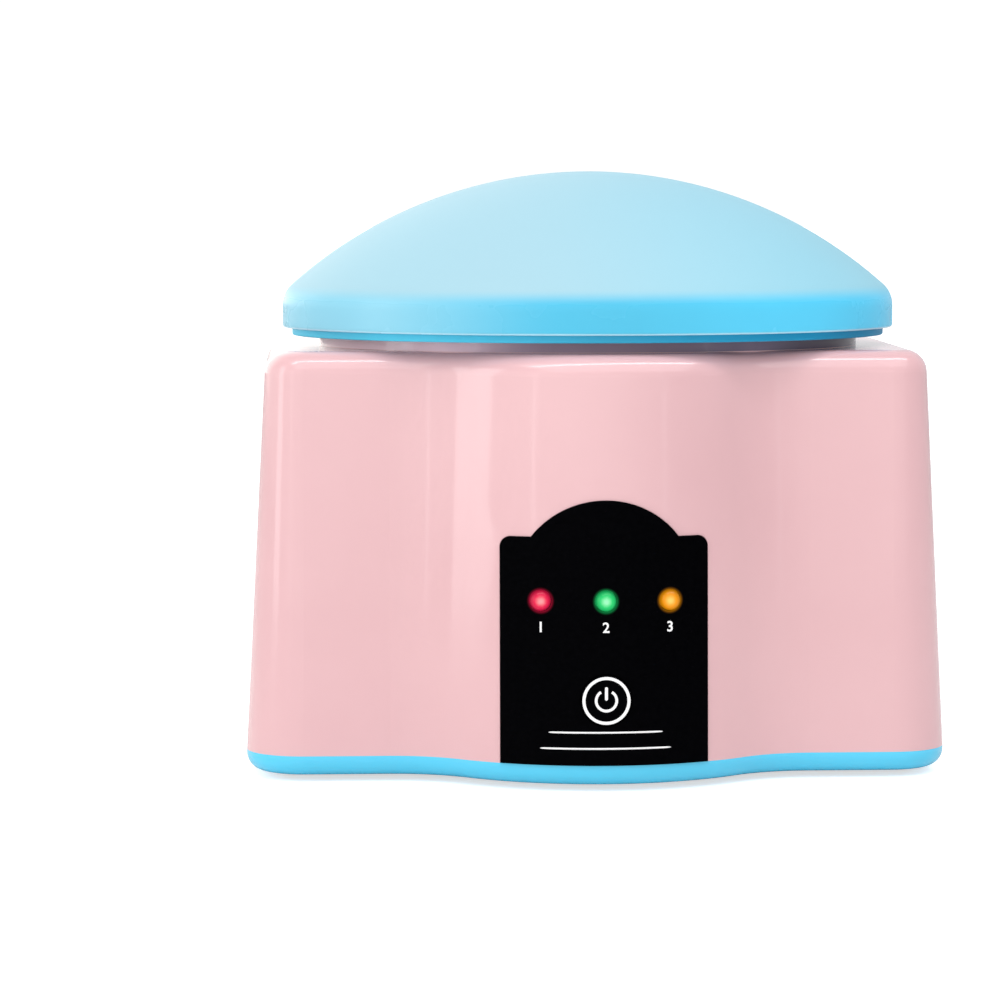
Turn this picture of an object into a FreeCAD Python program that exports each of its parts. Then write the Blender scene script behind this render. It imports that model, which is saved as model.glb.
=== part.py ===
import FreeCAD, Part
import math
import os
import re
import Sketcher

# Countertop steam unit that loosens gel nail polish. The fingers go down through five sleeves
# into a heated chamber; an oval cover closes it and swings up on a hinge at the back.
# Millimetres, +Z up, front towards -Y, origin on the table under the centre of the base.

doc = FreeCAD.newDocument("GelPolishRemover")

# ---------------------------------------------------------------- driving sizes

SIZES = {
    # housing plan at the seam, and what the draft takes off it by the top
    "housing_half_width": 85.0,
    "bulge_reach": 18.0,
    "bulge_radius": 54.0,
    "bulge_blend": 26.0,
    "front_corner": 14.0,
    "back_corner": 30.0,
    "draft_inset": 5.0,
    "housing_top": 103.0,
    "housing_wall": 2.5,
    "top_edge_round": 5.5,
    # base tray and what it stands on
    "foot_drop": 1.5,
    "foot_radius": 7.0,
    "foot_sink": 1.0,
    "foot_from_side": 23.0,
    "foot_from_front": 21.0,
    "foot_from_back": 22.5,
    "tray_height": 5.0,
    "tray_floor": 2.5,
    "tray_edge_round": 4.2,
    "lip_height": 3.0,
    "lip_wall": 1.6,
    # tray screws and the posts they join
    "post_from_side": 11.0,
    "post_from_front": 12.0,
    "post_from_back": 28.5,
    "post_radius": 4.2,
    "post_height": 26.0,
    "rib_thickness": 2.0,
    "screw_radius": 1.5,
    "screw_head_radius": 2.8,
    "screw_head_height": 1.8,
    "screw_length": 12.0,
    # collar, well and finger plate
    "collar_half_length": 67.0,
    "collar_margin": 9.0,
    "collar_wall": 2.5,
    "collar_height": 6.5,
    "ledge_width": 3.5,
    "well_flange": 2.0,
    "well_wall": 1.8,
    "well_floor_height": 50.0,
    "plate_thickness": 2.5,
    "finger_web": 1.2,
    "finger_wall_gap": 0.8,
    "finger_arc": 10.0,
    "sleeve_wall": 1.4,
    "sleeve_lip": 0.5,
    "sleeve_flange": 0.8,
    "sleeve_depth": 9.0,
    "seal_height": 1.5,
    # cover
    "cover_half_depth": 54.5,
    "housing_behind_cover": 8.0,
    "cover_wall": 2.2,
    "cover_lap": 2.0,
    "cover_band": 8.5,
    "dome_rise": 30.0,
    "cover_shoulder": 4.5,
    "liner_wall": 1.6,
    "liner_drop": 1.9,
    "liner_shelf": 1.6,
    "liner_shelf_width": 11.0,
    # rear hinge
    "hinge_reach": 4.0,
    "hinge_drop": 0.5,
    "knuckle_radius": 3.2,
    "knuckle_half_length": 14.0,
    "lug_length": 6.0,
    "pin_radius": 1.5,
    # control panel
    "panel_half_width": 24.6,
    "panel_above_seam": 0.1,
    "panel_shoulder": 60.2,
    "panel_crown": 68.9,
    "panel_arch_half_width": 17.5,
    "panel_corner": 2.5,
    "panel_recess": 1.0,
    "panel_proud": 0.5,
    "lamp_pitch": 15.3,
    "lamp_height": 45.3,
    "lamp_radius": 2.5,
    "lamp_rim_radius": 2.9,
    "lamp_rim": 1.0,
    "lamp_length": 8.6,
    "lamp_show": 1.1,
    "lamp_lead": 0.5,
    "lamp_lead_x": 1.27,
    "button_height": 22.0,
    "button_radius": 6.1,
    "button_flange_radius": 7.4,
    "button_flange": 1.4,
    "button_show": 0.6,
    "button_post_radius": 2.0,
    "button_seat_depth": 2.0,
    "button_travel": 0.6,
    # control board behind the panel
    "board_behind_bulge": 13.5,
    "board_thickness": 1.6,
    "board_half_width": 20.5,
    "board_bottom": 11.0,
    "board_top": 58.0,
    "board_screw_inset": 3.5,
    "board_post_radius": 3.0,
    "small_screw_radius": 1.15,
    "small_head_radius": 2.2,
    "small_head_height": 1.4,
    "small_screw_length": 6.0,
    "switch_side": 6.0,
    "switch_height": 3.5,
    "plunger_radius": 1.7,
    "plunger_height": 1.5,
    "plunger_well": 2.0,
    "plunger_gap": 0.1,
    "buzzer_radius": 6.0,
    "buzzer_height": 8.5,
    "buzzer_x": 12.0,
    "buzzer_port_radius": 1.2,
    "buzzer_port_depth": 1.5,
    "buzzer_z": 33.5,
    "capacitor_radius": 4.0,
    "capacitor_height": 11.0,
    "capacitor_x": 12.0,
    "capacitor_z": 33.5,
    "header_width": 15.0,
    "header_depth": 6.0,
    "header_height": 7.0,
    "header_z": 18.0,
    "transistor_width": 10.0,
    "transistor_depth": 4.5,
    "transistor_height": 9.0,
    "transistor_below_well": 1.2,
    # supply jack in the back wall
    "jack_from_side": 43.0,
    "jack_z": 20.0,
    "jack_barrel_radius": 3.9,
    "jack_rim_radius": 5.5,
    "jack_rim": 2.0,
    "jack_sink": 2.5,
    "jack_pad": 5.0,
    "jack_length": 11.0,
    "jack_bore_radius": 2.9,
    "jack_bore_depth": 9.0,
    "jack_pin_radius": 1.0,
    "jack_pin_depth": 8.0,
    "jack_recess_half": 7.0,
    "jack_nut_radius": 6.0,
    "jack_nut_height": 2.2,
    "jack_tab": 5.0,
    "jack_tab_x": 2.0,
    "jack_tab_width": 2.0,
    "jack_tab_thickness": 0.6,
    # heater under the well
    "heater_opening_radius": 22.0,
    "heater_plate_radius": 26.0,
    "heater_plate_thickness": 2.5,
    "heater_pad_rise": 0.6,
    "heater_seal_height": 1.0,
    "ptc_length": 35.0,
    "ptc_width": 20.0,
    "ptc_height": 4.0,
    "ptc_y": -4.0,
    "insulation_height": 1.5,
    "insulation_margin": 0.5,
    "strap_thickness": 1.2,
    "strap_width": 12.0,
    "strap_screw_x": 33.0,
    "well_post_radius": 3.5,
    "strap_screw_length": 7.0,
    "thermostat_radius": 7.5,
    "thermostat_height": 6.0,
    "thermostat_y": 16.0,
    "thermostat_ear_x": 11.5,
    "thermostat_ear_radius": 2.8,
    "thermostat_ear": 1.0,
    "fuse_radius": 2.0,
    "fuse_length": 11.0,
    "fuse_y": -19.0,
    # evaporating dish
    "dish_radius": 20.0,
    "dish_height": 13.0,
    "dish_wall": 0.9,
    # wires
    "wire_radius": 0.9,
    "wire_bend": 6.0,
    "wire_pair_x": 1.4,
    "supply_wire_x": 4.0,
    "heater_wire_x": 5.0,
    "element_wire_x": 10.0,
    "wire_lead_in": 12.0,
    # clearances, and how far a cutting tool runs past the face it opens
    "overcut": 1.0,
    "loose_fit": 0.3,
    "rest_gap": 0.1,
    "slide_fit": 0.15,
    "running_fit": 0.05,
    "screw_fit": 0.05,
}

sheet = doc.addObject("Spreadsheet::Sheet", "Sizes")
for row, (name, number) in enumerate(SIZES.items(), start=1):
    sheet.set("A%d" % row, name)
    sheet.set("B%d" % row, str(number))
    sheet.setAlias("B%d" % row, name)
doc.recompute()

ALIAS = re.compile(r"\b(" + "|".join(sorted(SIZES, key=len, reverse=True)) + r")\b")


def formula(text):
    """The text with every size led by its sheet, ready for setExpression."""
    return ALIAS.sub(r"Sizes.\1", text)


def value(text):
    """The number that a formula comes to."""
    return float(sheet.evalExpression(ALIAS.sub(r".\1", text)))


def bind(thing, **formulas):
    """Ties properties to the sheet; a double underscore stands for a dot in the property's path."""
    for path, text in formulas.items():
        thing.setExpression(path.replace("__", "."), formula(text))
    return thing


def put(thing, x="0", y="0", z="0"):
    """Ties the place of a feature to the sheet."""
    return bind(thing, Placement__Base__x=x, Placement__Base__y=y, Placement__Base__z=z)


# ---------------------------------------------------------------- derived sizes, as formulas

SEAM = "(foot_drop + tray_height)"
HOUSING_BACK = "(cover_half_depth + housing_behind_cover)"
BULGE_FRONT = "(%s - panel_proud)" % HOUSING_BACK
CENTRE_TO_BULGE = "(%s - bulge_radius)" % BULGE_FRONT
FRONT_FLAT = "(%s - bulge_reach)" % BULGE_FRONT
PLATE_BOTTOM = "(housing_top + well_flange)"
PLATE_TOP = "(housing_top + well_flange + plate_thickness)"
COLLAR_TOP = "(housing_top + collar_height)"
SEAL_TOP = "(housing_top + collar_height + seal_height)"
COLLAR_HALF_DEPTH = "(cover_half_depth - collar_margin)"
COVER_HALF_LENGTH = "(collar_half_length + collar_margin)"
COVER_BOTTOM = "(%s - cover_lap)" % COLLAR_TOP
COVER_TOP = "(%s + cover_band + dome_rise)" % COVER_BOTTOM
COVER_RATIO = "(cover_half_depth / %s)" % COVER_HALF_LENGTH
DOME_RADIUS = "((dome_rise^2 + %s^2) / (2 * dome_rise))" % COVER_HALF_LENGTH
HINGE_Y = "(cover_half_depth + hinge_reach)"
HINGE_Z = "(%s - hinge_drop)" % COVER_BOTTOM
WELL_HALF_LENGTH = "(collar_half_length - collar_wall - ledge_width - loose_fit)"
WELL_HALF_DEPTH = "(%s - collar_wall - ledge_width - loose_fit)" % COLLAR_HALF_DEPTH
WELL_UNDERSIDE = "(well_floor_height - well_wall)"
HEATER_TOP = "(%s - heater_seal_height)" % WELL_UNDERSIDE
HEATER_UNDERSIDE = "(%s - heater_plate_thickness)" % HEATER_TOP
DISH_BOTTOM = "(well_floor_height + heater_pad_rise)"
STRAP_TOP = "(%s - ptc_height - insulation_height)" % HEATER_UNDERSIDE
TRANSISTOR_TOP = "(%s - transistor_below_well)" % WELL_UNDERSIDE
BOARD_FRONT = "(%s - board_behind_bulge)" % BULGE_FRONT
BOARD_BACK = "(%s - board_thickness)" % BOARD_FRONT
PLUNGER_TIP = "(%s + switch_height + plunger_height)" % BOARD_FRONT
PANEL_BOTTOM = "(%s + panel_above_seam)" % SEAM
JACK_X = "(housing_half_width - jack_from_side)"
JACK_FACE = "(%s - jack_sink)" % HOUSING_BACK
DRAFT_ANGLE = "-1 * atan(draft_inset / (housing_top - %s))" % SEAM


def inset_at(height):
    """How far the drafted wall stands in from its seam outline at a height."""
    return "(draft_inset * (%s - %s) / (housing_top - %s))" % (height, SEAM, SEAM)


def bulge_face(height, out="0"):
    """Distance from the origin to the front of the bulge at a height, plus an offset outwards."""
    return "(%s - %s + %s)" % (BULGE_FRONT, inset_at(height), out)


def lamp_tip(x):
    """Front end of a lamp at a place across the bulge, where it stands out of the panel."""
    radius = "(bulge_radius + panel_proud - %s)" % inset_at("lamp_height")
    drop = "(%s - sqrt(%s^2 - (%s)^2))" % (radius, radius, x)
    return "-(%s - %s)" % (bulge_face("lamp_height", "panel_proud + lamp_show"), drop)


def hole_radius():
    """Radius of the five finger holes, as large as the oval chamber has room for.

    The outer holes come nearest to its wall on their diagonal. With C and D the chamber's
    half sizes, that point lies on the oval: (s R + c)^2 / C^2 + (R / sqrt 2 + finger_arc)^2 / D^2 = 1,
    where s R + c is its distance from the middle across two pitches of 2 R + finger_web.
    """
    length = "(%s - well_wall)" % WELL_HALF_LENGTH
    depth = "(%s - well_wall)" % WELL_HALF_DEPTH
    slope = "(4 + 1 / sqrt(2))"
    start = "(2 * finger_web + finger_wall_gap)"
    square = "(%s^2 / %s^2 + 1 / (2 * %s^2))" % (slope, length, depth)
    linear = "(2 * %s * %s / %s^2 + sqrt(2) * finger_arc / %s^2)" % (slope, start, length, depth)
    constant = "(%s^2 / %s^2 + finger_arc^2 / %s^2 - 1)" % (start, length, depth)
    return "((sqrt(%s^2 - 4 * %s * %s) - %s) / (2 * %s))" % (linear, square, constant, linear, square)


BUTTON_SEAT = "(%s)" % bulge_face("button_height", "0 - button_seat_depth")
FINGER_HOLE = hole_radius()
FINGER_PITCH = "(2 * %s + finger_web)" % FINGER_HOLE

# ---------------------------------------------------------------- solids from primitives

TURNED = {
    "x": FreeCAD.Rotation(FreeCAD.Vector(0, 1, 0), 90),
    "y": FreeCAD.Rotation(FreeCAD.Vector(1, 0, 0), -90),
    "z": FreeCAD.Rotation(),
}


def cylinder(name, radius, length, x="0", y="0", z="0", along="z"):
    """A round bar that starts at the point given and runs towards + of its axis."""
    bar = doc.addObject("Part::Cylinder", name)
    bar.Placement.Rotation = TURNED[along]
    bind(bar, Radius=radius, Height=length)
    return put(bar, x, y, z)


def box(name, x_low, x_high, y_low, y_high, z_low, z_high):
    """A block between two planes on each axis."""
    block = doc.addObject("Part::Box", name)
    bind(
        block,
        Length="(%s) - (%s)" % (x_high, x_low),
        Width="(%s) - (%s)" % (y_high, y_low),
        Height="(%s) - (%s)" % (z_high, z_low),
    )
    return put(block, x_low, y_low, z_low)


def oval(name, half_length, half_depth, low, high):
    """An upright elliptical block."""
    rim = doc.addObject("Part::Ellipse", name + "_rim")
    bind(rim, MajorRadius=half_length, MinorRadius=half_depth)
    put(rim, z=low)
    block = doc.addObject("Part::Extrusion", name)
    block.Base = rim
    block.DirMode = "Custom"
    block.Dir = FreeCAD.Vector(0, 0, 1)
    block.Solid = True
    return bind(block, LengthFwd="(%s) - (%s)" % (high, low))


def fuse(name, pieces):
    """One solid from several that meet."""
    joined = doc.addObject("Part::MultiFuse", name)
    joined.Shapes = pieces
    return joined


def cut(name, base, tools):
    """A solid less one tool, or less several joined first."""
    result = doc.addObject("Part::Cut", name)
    result.Base = base
    result.Tool = tools if not isinstance(tools, list) else fuse(name + "_tools", tools)
    return result


def common(name, first, second):
    """What two solids share."""
    result = doc.addObject("Part::Common", name)
    result.Base = first
    result.Tool = second
    return result


def group(name, pieces):
    """Several separate solids in one node."""
    bundle = doc.addObject("Part::Compound", name)
    bundle.Links = pieces
    return bundle


def screw(name, radius, head_radius, head_height, length, x, y, z, along="z", towards=1):
    """A pan-head screw: its head's seat is at the point given and its shank runs along the axis."""
    head_start = {"x": x, "y": y, "z": z}
    shank_start = {"x": x, "y": y, "z": z}
    if towards > 0:
        head_start[along] = "(%s) - (%s)" % (head_start[along], head_height)
    else:
        shank_start[along] = "(%s) - (%s)" % (shank_start[along], length)
    head = cylinder(name + "_head", head_radius, head_height, along=along, **head_start)
    shank = cylinder(name + "_shank", radius, length, along=along, **shank_start)
    return fuse(name, [head, shank])


# ---------------------------------------------------------------- solids from sketches

def plane_of(body, role):
    """One of a body's own origin planes."""
    return [part for part in body.Origin.OriginFeatures if part.Role == role][0]


def new_sketch(body, name, height, role="XY_Plane"):
    """A sketch on a plane of its body, lifted along the plane's normal."""
    sketch = body.newObject("Sketcher::SketchObject", name)
    sketch.AttachmentSupport = (plane_of(body, role), "")
    sketch.MapMode = "FlatFace"
    sketch.setExpression("AttachmentOffset.Base.z", formula(height))
    return sketch


def drive(sketch, name, text, constraint):
    """Adds a dimension to a sketch, names it and ties it to the sheet."""
    index = sketch.addConstraint(constraint)
    sketch.renameConstraint(index, name)
    sketch.setExpression("Constraints." + name, formula(text))


def plan_sketch(body, name, height, inset):
    """The housing's plan: straight sides, a bowed front with hollow blends, round corners.

    Parallel to the seam outline and the given distance inside it.
    """
    side = value("housing_half_width - " + inset)
    front = value("%s - %s" % (FRONT_FLAT, inset))
    back = value("%s - %s" % (HOUSING_BACK, inset))
    bulge = value("bulge_radius - " + inset)
    blend = value("bulge_blend + " + inset)
    front_round = value("front_corner - " + inset)
    back_round = value("back_corner - " + inset)
    centre_y = -value(CENTRE_TO_BULGE)
    blend_y = -front - blend
    blend_x = math.sqrt((bulge + blend) ** 2 - (centre_y - blend_y) ** 2)
    swing = math.atan2(blend_x, centre_y - blend_y)
    right = math.pi / 2
    up = FreeCAD.Vector(0, 0, 1)

    def point(x, y):
        return FreeCAD.Vector(x, y, 0)

    def arc(x, y, radius, start, end):
        return Part.ArcOfCircle(Part.Circle(point(x, y), up, radius), start, end)

    sketch = new_sketch(body, name, height)
    edges = [
        arc(0, centre_y, bulge, -right - swing, -right + swing),
        arc(blend_x, blend_y, blend, right, right + swing),
        Part.LineSegment(point(blend_x, -front), point(side - front_round, -front)),
        arc(side - front_round, front_round - front, front_round, -right, 0),
        Part.LineSegment(point(side, front_round - front), point(side, back - back_round)),
        arc(side - back_round, back - back_round, back_round, 0, right),
        Part.LineSegment(point(side - back_round, back), point(back_round - side, back)),
        arc(back_round - side, back - back_round, back_round, right, 2 * right),
        Part.LineSegment(point(-side, back - back_round), point(-side, front_round - front)),
        arc(front_round - side, front_round - front, front_round, 2 * right, 3 * right),
        Part.LineSegment(point(front_round - side, -front), point(-blend_x, -front)),
        arc(-blend_x, blend_y, blend, right - swing, right),
    ]
    sketch.addGeometry(edges, False)
    start, end, middle = 1, 2, 3
    backwards = {1: (end, start), 11: (end, start)}
    for index in range(len(edges)):
        after = (index + 1) % len(edges)
        leave = backwards.get(index, (start, end))[1]
        enter = backwards.get(after, (start, end))[0]
        sketch.addConstraint(Sketcher.Constraint("Tangent", index, leave, after, enter))
    for index in (2, 6, 10):
        sketch.addConstraint(Sketcher.Constraint("Horizontal", index))
    for index in (4, 8):
        sketch.addConstraint(Sketcher.Constraint("Vertical", index))
    sketch.addConstraint(Sketcher.Constraint("PointOnObject", 0, middle, -2))
    radii = {
        "bulge": (0, "bulge_radius - " + inset),
        "blend_right": (1, "bulge_blend + " + inset),
        "blend_left": (11, "bulge_blend + " + inset),
        "front_corner_right": (3, "front_corner - " + inset),
        "front_corner_left": (9, "front_corner - " + inset),
        "back_corner_right": (5, "back_corner - " + inset),
        "back_corner_left": (7, "back_corner - " + inset),
    }
    for title, (index, text) in radii.items():
        drive(sketch, title, text, Sketcher.Constraint("Radius", index, value(text)))
    origin = (-1, 1)
    places = [
        ("bulge_centre", "DistanceY", (0, middle), origin, CENTRE_TO_BULGE),
        ("front_right", "DistanceY", (2, start), origin, "%s - %s" % (FRONT_FLAT, inset)),
        ("front_left", "DistanceY", (10, start), origin, "%s - %s" % (FRONT_FLAT, inset)),
        ("side_right", "DistanceX", origin, (4, start), "housing_half_width - " + inset),
        ("side_left", "DistanceX", (8, start), origin, "housing_half_width - " + inset),
        ("back", "DistanceY", origin, (6, start), "%s - %s" % (HOUSING_BACK, inset)),
    ]
    for title, kind, first, second, text in places:
        drive(sketch, title, text, Sketcher.Constraint(kind, *first, *second, value(text)))
    return sketch


def plan_solid(name, low, high, inset, drafted=True):
    """A block with the housing's plan at an inset, whose walls lean in by the draft."""
    body = doc.addObject("PartDesign::Body", name)
    sketch = plan_sketch(body, name + "_plan", low, inset)
    pad = body.newObject("PartDesign::Pad", name + "_pad")
    pad.Profile = (sketch, [""])
    bind(pad, Length="(%s) - (%s)" % (high, low))
    if drafted:
        bind(pad, TaperAngle=DRAFT_ANGLE)
    return body


def level_edges(shape, height):
    """Numbers of the edges that lie flat at a height."""
    level = value(height)
    near = 0.01
    return [
        index
        for index, edge in enumerate(shape.Edges, start=1)
        if abs(edge.BoundBox.ZMin - level) < near and abs(edge.BoundBox.ZMax - level) < near
    ]


def round_rim(body, name, height, radius):
    """Rounds every edge of a body that lies flat at a height."""
    doc.recompute()
    before = body.Tip
    blend = body.newObject("PartDesign::Fillet", name)
    blend.Base = (before, ["Edge%d" % number for number in level_edges(before.Shape, height)])
    bind(blend, Radius=radius)
    return body


def round_shoulder(name, base, height, radius):
    """Rounds every edge of a primitive solid that lies flat at a height."""
    doc.recompute()
    size = value(radius)
    blend = doc.addObject("Part::Fillet", name)
    blend.Base = base
    blend.Edges = [(number, size, size) for number in level_edges(base.Shape, height)]
    return blend


def panel_profile(name, grow, depth):
    """The panel's arched outline, widened by a clearance, as a block that runs in from the front."""
    body = doc.addObject("PartDesign::Body", name)
    sketch = new_sketch(body, name + "_outline", "0", "XZ_Plane")
    half = value("panel_half_width + " + grow)
    arch = value("panel_arch_half_width")
    corner = value("panel_corner + " + grow)
    low = value("%s - %s" % (PANEL_BOTTOM, grow))
    shoulder = value("panel_shoulder + " + grow)
    crown = value("panel_crown + " + grow)
    rise = crown - shoulder
    radius = (rise ** 2 + arch ** 2) / (2 * rise)
    spread = math.asin(arch / radius)
    right = math.pi / 2
    up = FreeCAD.Vector(0, 0, 1)

    def point(x, y):
        return FreeCAD.Vector(x, y, 0)

    def arc(x, y, size, start, end):
        return Part.ArcOfCircle(Part.Circle(point(x, y), up, size), start, end)

    edges = [
        Part.LineSegment(point(-half, low), point(half, low)),
        Part.LineSegment(point(half, low), point(half, shoulder - corner)),
        arc(half - corner, shoulder - corner, corner, 0, right),
        Part.LineSegment(point(half - corner, shoulder), point(arch, shoulder)),
        arc(0, crown - radius, radius, right - spread, right + spread),
        Part.LineSegment(point(-arch, shoulder), point(corner - half, shoulder)),
        arc(corner - half, shoulder - corner, corner, right, 2 * right),
        Part.LineSegment(point(-half, shoulder - corner), point(-half, low)),
    ]
    sketch.addGeometry(edges, False)
    start, end, middle = 1, 2, 3
    for index in range(len(edges)):
        after = (index + 1) % len(edges)
        kind = "Tangent" if {index, after} & {2, 6} else "Coincident"
        sketch.addConstraint(Sketcher.Constraint(kind, index, end, after, start))
    for index in (0, 3, 5):
        sketch.addConstraint(Sketcher.Constraint("Horizontal", index))
    for index in (1, 7):
        sketch.addConstraint(Sketcher.Constraint("Vertical", index))
    sketch.addConstraint(Sketcher.Constraint("PointOnObject", 4, middle, -2))
    origin = (-1, 1)
    for title, index in (("corner_right", 2), ("corner_left", 6)):
        text = "panel_corner + " + grow
        drive(sketch, title, text, Sketcher.Constraint("Radius", index, value(text)))
    rise_text = "(panel_crown - panel_shoulder)"
    radius_text = "(%s^2 + panel_arch_half_width^2) / (2 * %s)" % (rise_text, rise_text)
    drive(sketch, "crown", radius_text, Sketcher.Constraint("Radius", 4, value(radius_text)))
    places = [
        ("low", "DistanceY", origin, (0, start), "%s - %s" % (PANEL_BOTTOM, grow)),
        ("side_right", "DistanceX", origin, (1, start), "panel_half_width + " + grow),
        ("side_left", "DistanceX", (7, start), origin, "panel_half_width + " + grow),
        ("shoulder_right", "DistanceY", origin, (3, start), "panel_shoulder + " + grow),
        ("shoulder_left", "DistanceY", origin, (5, start), "panel_shoulder + " + grow),
        ("arch_right", "DistanceX", origin, (4, start), "panel_arch_half_width"),
    ]
    for title, kind, first, second, text in places:
        drive(sketch, title, text, Sketcher.Constraint(kind, *first, *second, value(text)))
    pad = body.newObject("PartDesign::Pad", name + "_pad")
    pad.Profile = (sketch, [""])
    pad.UseCustomVector = True
    pad.Direction = FreeCAD.Vector(0, -1, 0)
    bind(pad, Length=depth)
    return body


# ---------------------------------------------------------------- wires

def wire(name, route):
    """A round wire along straight runs joined by tangent arcs; the route is a list of formulas."""
    radius = value("wire_radius")
    bend = value("wire_bend")
    points = [FreeCAD.Vector(*[value(text) for text in place]) for place in route]
    edges = []
    here = points[0]
    for before, corner, after in zip(points, points[1:], points[2:]):
        inward = (before - corner).normalize()
        outward = (after - corner).normalize()
        turn = math.pi - inward.getAngle(outward)
        reach = bend * math.tan(turn / 2)
        start = corner + inward * reach
        end = corner + outward * reach
        bisector = (inward + outward).normalize()
        centre = corner + bisector * (bend / math.cos(turn / 2))
        middle = centre - bisector * bend
        edges.append(Part.LineSegment(here, start).toShape())
        edges.append(Part.Arc(start, middle, end).toShape())
        here = end
    edges.append(Part.LineSegment(here, points[-1]).toShape())
    path = Part.Wire(edges)
    ring = Part.Wire(Part.makeCircle(radius, points[0], points[1] - points[0]))
    strand = doc.addObject("Part::Feature", name)
    strand.Shape = path.makePipeShell([ring], True, False)
    strand.Placement = FreeCAD.Placement()
    return strand


# ================================================================ the pieces

NODES = []


def node(label, thing):
    """Marks a finished sub-part; its label is the node's name."""
    thing.Label = label
    NODES.append(thing)
    return thing


# ---------------------------------------------------------------- places shared by several pieces

SIDES = {"left": "-", "right": ""}
LAMP_X = ["-lamp_pitch", "0", "lamp_pitch"]
FINGER_X = ["%d * %s" % (step, FINGER_PITCH) for step in (-2, -1, 0, 1, 2)]
FINGER_Y = ["finger_arc * (1 - %d / 2)" % (step * step) for step in (-2, -1, 0, 1, 2)]


def four_places(half_length, low, high):
    """The corners of a rectangle that is as far to the left as to the right."""
    return [(sign + half_length, level) for level in (low, high) for sign in ("-", "")]


POSTS = four_places(
    "(housing_half_width - post_from_side)",
    "-(%s - post_from_front)" % FRONT_FLAT,
    "(%s - post_from_back)" % HOUSING_BACK,
)
FEET = four_places(
    "(housing_half_width - foot_from_side)",
    "-(%s - foot_from_front)" % FRONT_FLAT,
    "(%s - foot_from_back)" % HOUSING_BACK,
)
BOARD_SCREWS = four_places(
    "(board_half_width - board_screw_inset)",
    "(board_bottom + board_screw_inset)",
    "(board_top - board_screw_inset)",
)


# ---------------------------------------------------------------- main housing

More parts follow.
